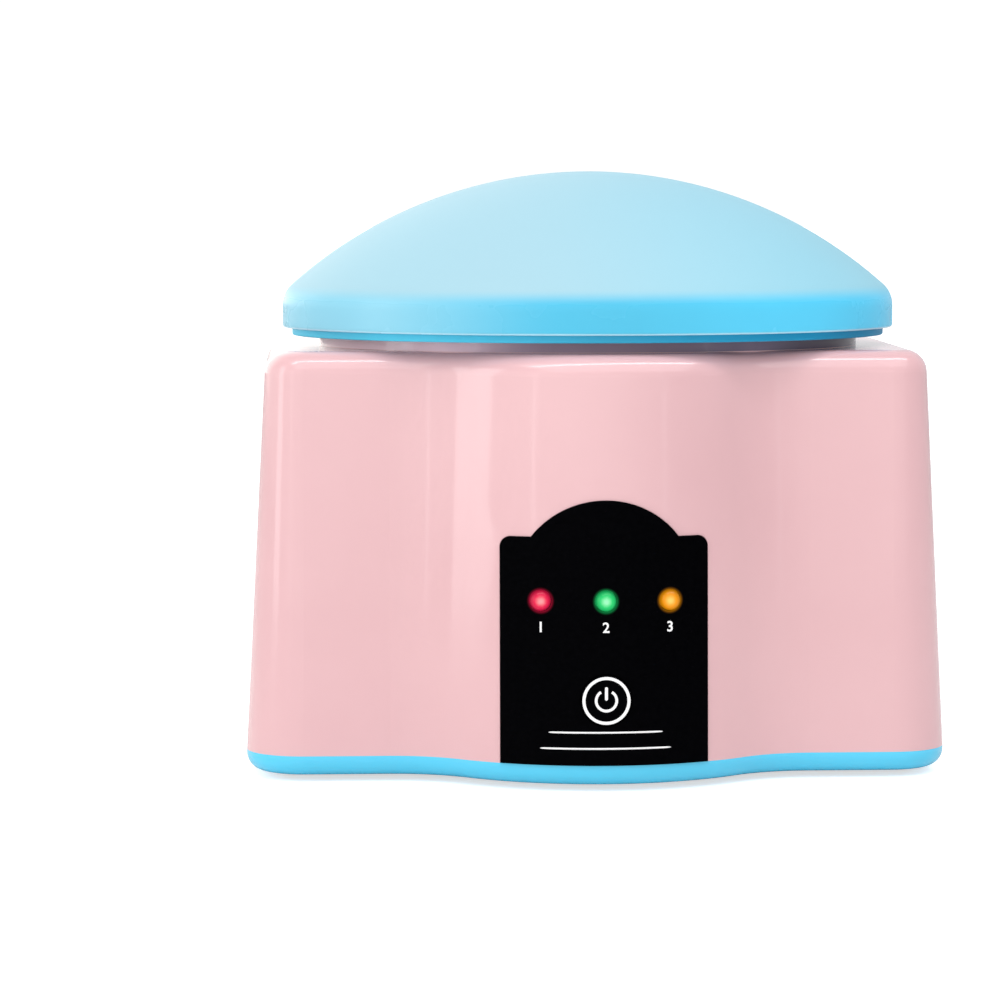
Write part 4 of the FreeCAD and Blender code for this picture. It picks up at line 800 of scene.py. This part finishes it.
def foot_profile(reach, bottom, top):
    """A foot's section, as rows of radius and height: a hollow middle, two treads, a soft edge."""
    hollow = bottom + FOOT_HOLLOW
    return [
        (0.0, hollow),
        (2.0, hollow),
        (2.3, bottom + 0.22),
        (2.5, bottom + 0.05),
        (2.7, bottom),
        (3.6, bottom),
        (3.8, bottom + 0.05),
        (4.0, bottom + 0.22),
        (4.25, hollow),
        (4.5, bottom + 0.22),
        (4.7, bottom + 0.05),
        (4.9, bottom),
        (reach - 0.9, bottom),
        (reach - 0.45, bottom + 0.12),
        (reach - 0.15, bottom + 0.4),
        (reach - CLEAR, bottom + 0.8),
        (reach - CLEAR, top - 0.2),
        (reach - 0.2, top - CLEAR),
        (0.0, top - CLEAR),
    ]


rubber = foot_rubber()
for count in range(1, 5):
    node = f"rubber_foot_{count}"
    low, high = box_in_mm(node)
    section = foot_profile((high[0] - low[0]) / 2, low[2], high[2])
    foot = turned(f"foot_{count}", section, centre=(low + high)[:2] / 2)
    fit(f"foot_{count}", foot, rubber, "machine", "foot_rubber", node)

# Evaporating dish: a small spun stainless dish that holds the remover over the heater pad. Its
# rim is rolled outwards, its corner is round, and the spinning leaves fine rings inside.

DISH_FLOOR = 0.9
RING_PHASE = 9000.0


def spun_steel():
    """Stainless steel with fine rings round the dish's middle and a little water mark.

    The rings are the sine of a point's reach from the middle times RING_PHASE.
    """
    material, place = blank_finish("dish_steel")
    rings = place.maths("SINE", reach_in(place, (1.0, 1.0, 0.0)) * RING_PHASE)
    mark = place.cloud(140, 4)
    values = {
        "Base Color": mark.tint(rgb(176, 178, 182), rgb(212, 214, 218)),
        "Metallic": 1.0,
        "Roughness": mark * 0.15 + 0.16,
        "Normal": rings.relief(0.3, 0.02),
    }
    return close_finish(material, values)


low, high = box_in_mm("evaporating_dish")
reach, base, rim = high[0], low[2], high[2]
dish_profile = soften(
    [
        (0.0, base + CLEAR),
        (reach - 1.3, base + CLEAR),
        (reach - 0.9, rim - 1.0),
        (reach - 0.05, rim - 0.55),
        (reach - 0.35, rim - CLEAR),
        (reach - 1.5, rim - 0.5),
        (reach - 2.1, base + DISH_FLOOR),
        (0.0, base + DISH_FLOOR),
    ],
    (0.0, 2.2, 0.3, 0.25, 0.25, 0.5, 1.8, 0.0),
    8,
)
dish = turned("remover_dish", dish_profile, count=128)
fit("remover_dish", dish, spun_steel(), "machine", "dish_steel", "evaporating_dish")

# Finger plate and sleeves: a white moulded plate lies on the well's flange and holds five soft
# silicone sleeves. Each sleeve has a rolled collar on the plate and thin ribs that grip a finger.

SLEEVE_COLLAR = 0.8
SLEEVE_WALL = 1.4
SLEEVE_GAP = 0.04
RIB_COUNT = 5
RIB_HEIGHT = 0.22


def sleeve_profile(flange, bottom, top):
    """A sleeve's section, as rows of radius and height: rolled lip, ribbed bore and rounded toe.

    The ribs are a raised cosine down the bore, which makes it narrower five times.
    """
    wall_out = flange - SLEEVE_COLLAR - SLEEVE_GAP
    wall_in = flange - SLEEVE_COLLAR - SLEEVE_WALL + 0.05
    down = np.linspace(0, 1, 41)
    height = top - 1.1 + (bottom + 0.7 - top + 1.1) * down
    rib = RIB_HEIGHT * (0.5 + 0.5 * np.cos(down * 2 * np.pi * RIB_COUNT))
    bore = np.stack([wall_in + 0.3 - rib, height], axis=1)
    lip = [
        (wall_out, top - SLEEVE_COLLAR - SLEEVE_GAP),
        (flange - 0.25, top - SLEEVE_COLLAR - SLEEVE_GAP),
        (flange - 0.07, top - 0.72),
        (flange - CLEAR, top - 0.45),
        (flange - 0.12, top - 0.18),
        (flange - 0.4, top - 0.03),
        (flange - 0.9, top - CLEAR),
        (flange - 1.4, top - 0.1),
        (flange - 1.75, top - 0.4),
    ]
    toe = [
        (wall_in + 0.25, bottom + 0.25),
        (wall_in + 0.45, bottom + 0.06),
        (wall_in + 0.75, bottom + CLEAR),
        (wall_out - 0.25, bottom + 0.12),
        (wall_out - 0.05, bottom + 0.4),
        (wall_out, bottom + 0.9),
        (wall_out, top - 1.2),
    ]
    return np.vstack([lip, bore, toe])


dress(moulded("plate_white", rgb(206, 207, 208), 0.3), "finger_plate")
silicone_white = silicone("silicone_white", rgb(214, 216, 218), 0.38)
for count in range(1, 6):
    name, node = f"sleeve_{count}", f"finger_sleeve_{count}"
    low, high = box_in_mm(node)
    section = sleeve_profile((high[0] - low[0]) / 2, low[2], high[2])
    sleeve = turned(name, section, count=96, centre=(low + high)[:2] / 2, ring=True)
    fit(name, sleeve, silicone_white, "machine", "silicone_white", node)

# Cover seal: an oval ring of grey silicone pressed on the collar's rim. Two soft lips along its
# top close against the shelf inside the cover.

LIP_DROP = 0.55


def oval(name, profile, count=192, ring=True):
    """An oval piece: rows of ellipses. A profile row holds half length, half depth and height."""
    angle = np.linspace(0, 2 * np.pi, count, endpoint=False)
    length, depth, height = np.asarray(profile, float).T[:, :, None]
    across = length * np.cos(angle)
    points = [across, depth * np.sin(angle), np.broadcast_to(height, across.shape)]
    return closed_mesh(name, np.stack(points, axis=-1), ring)


def inset_rows(half_length, half_depth, rows):
    """Rows for an oval, from pairs of an inset from its outer edge and a height."""
    return [(half_length - inset, half_depth - inset, height) for inset, height in rows]


low, high = box_in_mm("cover_seal")
base, crest = low[2] + CLEAR, high[2] - CLEAR
lip_rows = [
    (0.1, base),
    (0.1, crest - 0.5),
    (0.35, crest),
    (0.85, crest),
    (1.05, crest - LIP_DROP),
    (1.45, crest - LIP_DROP),
    (1.65, crest),
    (2.15, crest),
    (2.4, crest - 0.5),
    (2.4, base),
]
seal = oval("cover_gasket", soften(inset_rows(high[0], high[1], lip_rows), 0.12, 4))
fit("cover_gasket", seal, silicone_grey, "machine", "silicone_grey", "cover_seal")

# Cover: a sky-blue dome moulded with a straight band and a hinge knuckle, which turns on a steel
# pin, and a liner snapped inside the band, whose lower edge shows as a thin skirt, painted darker
# as the band's shade. The dome is frosted by the mould's texture; the band is smoother and takes a
# soft shine. Light from above and from the left is painted into the colours of dome, band and
# skirt.

HALF_LENGTH, HALF_DEPTH = 76.0, 54.5
COVER_LOW, BAND_TOP, COVER_TOP = 107.5, 116.0, 146.0
COVER_WALL = 2.2
OUTER_ROUND, INNER_ROUND = 3.2, 2.0
DOME_RISE = COVER_TOP - BAND_TOP
DOME_RADIUS = (DOME_RISE**2 + HALF_LENGTH**2) / (2 * DOME_RISE)
HINGE_Y, HINGE_Z = 58.5, 107.0
KNUCKLE_RADIUS = 3.2
KNUCKLE_HALF = 14.0
KNUCKLE_EDGE = 0.35
PIN_HOLE_RADIUS = 1.56
WEB_END_Y = HALF_DEPTH - 1.7
LINER_WALL, LINER_SHELF = 1.6, 11.0
LINER_ROUND = 0.45


def dome_height(reach, thickness=0.0):
    """Height of the dome over a point at that half length: a circle through apex and shoulder."""
    radius = DOME_RADIUS - thickness
    return COVER_TOP - DOME_RADIUS + np.sqrt(radius**2 - reach**2)


def shoulder(reach, thickness, low_edge, trim):
    """A profile from the apex down the dome, round a soft shoulder and down the band.

    The shoulder is a parabola that leaves the dome and the band a trim distance from their corner.
    """
    steps = np.linspace(0, 1, 36)
    corner = np.array([reach, dome_height(reach, thickness)])
    slope = -reach / math.sqrt((DOME_RADIUS - thickness) ** 2 - reach**2)
    back = np.array([-1.0, -slope]) / math.hypot(1.0, slope) * trim
    along = (reach + back[0]) * steps
    dome = np.stack([along, dome_height(along, thickness)], axis=1)
    t = np.linspace(0, 1, 12)[1:, None]
    down = corner - (0.0, trim)
    bend = (1 - t) ** 2 * dome[-1] + 2 * t * (1 - t) * corner + t**2 * down
    band = np.linspace(down, (reach, low_edge), 6)[1:]
    return np.vstack([dome, bend, band])


def cover_rows():
    """Rows for the cover: down the outside, round its lower edge and up the inside.

    Outside and inside, the half depth is a fixed share of the half length. Round the edge, both
    are inset alike, so that the wall keeps its thickness.
    """
    inside = HALF_LENGTH - COVER_WALL
    outer = shoulder(HALF_LENGTH, 0.0, COVER_LOW + 0.9, OUTER_ROUND)
    edge = np.array(
        [
            (HALF_LENGTH - CLEAR, COVER_LOW + 0.6),
            (HALF_LENGTH - 0.1, COVER_LOW + 0.32),
            (HALF_LENGTH - 0.3, COVER_LOW + 0.1),
            (HALF_LENGTH - 0.62, COVER_LOW),
            (HALF_LENGTH - 0.9, COVER_LOW),
            (inside + 0.7, COVER_LOW),
            (inside + 0.45, COVER_LOW),
            (inside + 0.15, COVER_LOW + 0.12),
            (inside, COVER_LOW + 0.4),
        ]
    )
    inner = shoulder(inside, COVER_WALL, COVER_LOW + 0.7, INNER_ROUND)[::-1]
    path = np.vstack([outer, edge, inner])
    depth = np.concatenate(
        [
            outer[:, 0] * (HALF_DEPTH / HALF_LENGTH),
            edge[:, 0] - (HALF_LENGTH - HALF_DEPTH),
            inner[:, 0] * ((HALF_DEPTH - COVER_WALL) / inside),
        ]
    )
    return np.stack([path[:, 0], depth, path[:, 1]], axis=1)


def round_the_pin(radius, angle):
    """Points at a radius from the hinge's axis: y from the angle's cosine and z from its sine."""
    return np.stack([HINGE_Y + radius * np.cos(angle), HINGE_Z + radius * np.sin(angle)], axis=1)


def knuckle_mesh():
    """The hinge knuckle: a tube round the pin whose upper side runs into the band.

    One section, a circle carried on to a flat web, and the pin's hole are joined point by point
    at both ends; a slightly smaller section at each end rounds the edge.
    """
    tube = round_the_pin(KNUCKLE_RADIUS, np.radians(np.linspace(171, 450, 48)))
    web_top = HINGE_Z + KNUCKLE_RADIUS
    top = np.linspace((HINGE_Y - 0.8, web_top), (WEB_END_Y, web_top), 6)
    under = (HINGE_Y - KNUCKLE_RADIUS - 0.3, HINGE_Z + 0.56)
    low = np.linspace((WEB_END_Y, HINGE_Z + 1.2), under, 4)
    section = np.vstack([tube, top, low])
    angle = np.arctan2(section[:, 1] - HINGE_Z, section[:, 0] - HINGE_Y)
    hole = round_the_pin(PIN_HOLE_RADIUS, angle)
    middle = section.mean(axis=0)
    small = middle + (section - middle) * 0.93
    loops = np.stack([hole, small, section, section, section, section, small, hole])
    inset = np.array([0.0, 0.0, KNUCKLE_EDGE, 2 * KNUCKLE_EDGE])
    x = np.concatenate([inset - KNUCKLE_HALF, KNUCKLE_HALF - inset[::-1]])
    x = np.broadcast_to(x[:, None], loops.shape[:2])
    return closed_mesh("knuckle", np.concatenate([x[..., None], loops], axis=-1), True)


cover_mesh = oval("cover_dome", cover_rows(), count=256, ring=False)
knuckle = knuckle_mesh()
knuckle.set_sharp_from_angle(angle=math.radians(40))
work = bmesh.new()
work.from_mesh(cover_mesh)
work.from_mesh(knuckle)
work.to_mesh(cover_mesh)
work.free()
bpy.data.meshes.remove(knuckle)


def cover_finish():
    """Sky-blue plastic: a frosted dome, a deeper and glossier band, one soft line between.

    The dome's paler colour is painted light from above, a little less blue at the left. The band's
    tone is painted light as well: darker in the middle, brighter to the right, a painted reflection
    at its left end and a painted highlight along its thin lower edge, but not on the knuckle.
    """
    material, place = blank_finish("cover_blue")
    across, back, height = place.split()
    pigment = place.cloud(16, 3)
    frost = place.cloud(3200, 2)
    smear = place.cloud(70, 3)
    dome = height + (pigment - 0.5) * (0.8 * MM)
    dome = dome.step((BAND_TOP - 1.4) * MM, (BAND_TOP + 2.4) * MM)
    # Painted light on the band: darker in the middle, brighter to the right, and a painted
    # reflection at its left end.
    band = across.step(0.0, 50 * MM).tint(rgb(78, 188, 222), rgb(86, 204, 242))
    band = across.step(-56 * MM, -8 * MM).tint(rgb(134, 202, 224), band)
    # A painted highlight along the band's lower edge, kept off the knuckle at the back.
    edge = height + (smear - 0.5) * (0.2 * MM)
    edge = 1 - edge.step((COVER_LOW + 0.2) * MM, (COVER_LOW + 0.6) * MM)
    edge = edge * (1 - back.step((HALF_DEPTH - 1.5) * MM, (HALF_DEPTH + 0.1) * MM))
    band = edge.tint(band, rgb(176, 232, 250))
    # The dome's paler colour is painted light from above, a little less blue at the left.
    painted_lit_dome = across.step(-30 * MM, 60 * MM).tint(rgb(159, 197, 210), rgb(145, 203, 221))
    painted_lit_dome = (pigment * 0.5).tint(painted_lit_dome, rgb(156, 199, 213))
    texture = frost * (dome * 0.85 + 0.15)
    values = {
        "Base Color": dome.tint(band, painted_lit_dome),
        "Roughness": dome * 0.3 + (smear * 0.06 + 0.24),
        "Specular IOR Level": 0.35,
        "Normal": texture.relief(0.25, 0.03),
    }
    return close_finish(material, values)


fit("cover_dome", cover_mesh, cover_finish(), "cover", "cover_blue", "cover_shell")
dress(steel, "hinge_pin")


def liner_finish():
    """The liner's blue, satin, painted darker as the band's shade, and paler towards its left end
    as painted light.
    """
    material, place = blank_finish("liner_blue")
    across, _, _ = place.split()
    pigment = place.cloud(24, 3)
    peel = place.cloud(900, 3)
    # Painted shade under the band: darkest at the right, lighter and lit towards the left.
    painted_liner_shade = (across + (pigment - 0.5) * (20 * MM)).step(-70 * MM, 50 * MM)
    values = {
        "Base Color": painted_liner_shade.tint(rgb(84, 203, 233), rgb(27, 152, 197)),
        "Roughness": pigment * 0.1 + 0.4,
        "Specular IOR Level": 0.2,
        "Normal": peel.relief(0.4, 0.03),
    }
    return close_finish(material, values)


low, high = box_in_mm("cover_liner")
ceiling = high[2] - LINER_WALL
liner_rows = [
    (0.0, low[2]),
    (0.0, high[2]),
    (LINER_SHELF, high[2]),
    (LINER_SHELF, ceiling),
    (LINER_WALL, ceiling),
    (LINER_WALL, low[2]),
]
liner_profile = soften(inset_rows(high[0], high[1], liner_rows), LINER_ROUND, 5)
liner = oval("cover_skirt", liner_profile, count=256)
fit("cover_skirt", liner, liner_finish(), "cover", "liner_blue", "cover_liner")

# Table, light and camera: a wide white surface in a pale room, with a soft window low at the front
# left and a bright far wall at the back left. Two large lamps stand at the left and above, and
# three narrow ones draw soft lines in the gloss.

TABLE_CORNERS = [(-6.0, -4.0, 0.0), (6.0, -4.0, 0.0), (6.0, 8.0, 0.0), (-6.0, 8.0, 0.0)]
TABLE_BOUNCE = 0.8
TABLE_LIFT = 0.64
BACKDROP = 1.05
LEFT_WALL, RIGHT_WALL = (0.42, 0.42, 0.42, 1.0), (0.46, 0.47, 0.5, 1.0)
WINDOW_LIGHT = (1.4, 1.38, 1.36, 1.0)
BACK_LIGHT = (0.75, 0.75, 0.78, 1.0)
FAR_WALL_LIGHT = (2.2, 2.14, 2.04, 1.0)
MIDDLE = Vector((0.0, 0.0, 0.07))
# Each lamp's name, place, width, height and watts.
LAMPS = (
    ("left_lamp", (-1.26, -0.51, 0.45), 0.38, 1.0, 2.1),
    ("left_strip", (-0.78, -1.11, 0.45), 0.05, 0.9, 0.2),
    ("right_strip", (0.82, -1.09, 0.45), 0.05, 0.9, 0.12),
    ("top_lamp", (0.15, -0.62, 1.08), 1.8, 1.1, 7.7),
    ("overhead_strip", (0.1, -0.3, 1.1), 1.5, 0.12, 3.6),
)


def grey(level):
    """A light with its three parts alike."""
    return (level, level, level, 1.0)


def table_finish():
    """Matt white. A ray of light meets TABLE_BOUNCE; the eye sees it lifted almost to white."""
    material, place = blank_finish("table_white")
    fleck = place.cloud(40, 3)
    looked_at = place.node("ShaderNodeLightPath")
    white = fleck.tint(rgb(240, 240, 240), rgb(244, 244, 244))
    values = {
        "Base Color": looked_at.tint(grey(TABLE_BOUNCE), white),
        "Roughness": fleck * 0.1 + 0.6,
        "Emission Color": looked_at.tint(DARK, grey(TABLE_LIFT)),
        "Emission Strength": 1.0,
    }
    return close_finish(material, values)


floor_mesh = bpy.data.meshes.new("table")
floor_mesh.from_pydata(TABLE_CORNERS, [], [(0, 1, 2, 3)])
floor_mesh.materials.append(table_finish())
table_top = bpy.data.objects.new("table", floor_mesh)
bpy.context.scene.collection.objects.link(table_top)

world = bpy.data.worlds.new("white_room")
bpy.context.scene.world = world
world.use_nodes = True
world.node_tree.nodes.clear()
room = Wire(world.node_tree)
seen = room.node("ShaderNodeLightPath")
# The three parts of a ray's direction, each from -1 to 1, choose what it meets.
across, away, climb = room.node("ShaderNodeTexCoord", output=0).split()
walls = across.step(-0.7, 0.8).tint(LEFT_WALL, RIGHT_WALL)
window = (1 - (across * 0.7 + away * 0.71).step(-0.9, 0.15)) * (1 - climb.step(0.15, 0.75))
walls = window.tint(walls, WINDOW_LIGHT)
walls = away.step(0.2, 0.6).tint(walls, BACK_LIGHT)
far_wall = away.step(0.2, 0.6) * (1 - across.step(-0.3, 0.25)) * (1 - climb.step(0.5, 0.9))
walls = far_wall.tint(walls, FAR_WALL_LIGHT)
backdrop = seen.tint(walls, grey(BACKDROP))
light = room.node("ShaderNodeBackground", None, {"Color": backdrop, "Strength": 1.0})
room.node("ShaderNodeOutputWorld", None, {"Surface": light})

for name, place, width, height, watts in LAMPS:
    light = bpy.data.lights.new(name, "AREA")
    light.shape = "RECTANGLE"
    light.size = width
    light.size_y = height
    light.energy = watts
    lamp = bpy.data.objects.new(name, light)
    bpy.context.scene.collection.objects.link(lamp)
    lamp.location = place
    lamp.rotation_mode = "QUATERNION"
    lamp.rotation_quaternion = (MIDDLE - Vector(place)).to_track_quat("-Z", "Y")

# The camera looks from AZIMUTH and ELEVATION, a DISTANCE from the target, and is turned until the
# target shows at TARGET_PIXEL. FRAME and FOCUS, the focal length, are in pixels.
AZIMUTH, ELEVATION = math.radians(-4.2), math.radians(4.4)
DISTANCE = 0.95
TARGET = Vector((0.0, 0.0, 0.075))
TARGET_PIXEL = (587.5, 455.8)
FRAME, FOCUS = 1000, 3794.0
SENSOR = 36.0
back = Vector(
    (
        math.sin(AZIMUTH) * math.cos(ELEVATION),
        -math.cos(AZIMUTH) * math.cos(ELEVATION),
        math.sin(ELEVATION),
    )
)
side = Vector((math.cos(AZIMUTH), math.sin(AZIMUTH), 0.0))
above = side.cross(-back)
look = -back
look -= side * ((TARGET_PIXEL[0] - FRAME / 2) / FOCUS)
look -= above * ((FRAME / 2 - TARGET_PIXEL[1]) / FOCUS)
look.normalize()
right = look.cross(Vector((0.0, 0.0, 1.0))).normalized()
upward = right.cross(look)
turn = Matrix((right, upward, -look)).transposed().to_4x4()
lens = bpy.data.cameras.new("camera")
lens.sensor_width = SENSOR
lens.lens = FOCUS * SENSOR / FRAME
camera = bpy.data.objects.new("camera", lens)
scene = bpy.context.scene
scene.collection.objects.link(camera)
camera.matrix_world = Matrix.Translation(TARGET + back * DISTANCE) @ turn
scene.camera = camera
scene.view_settings.view_transform = "Standard"
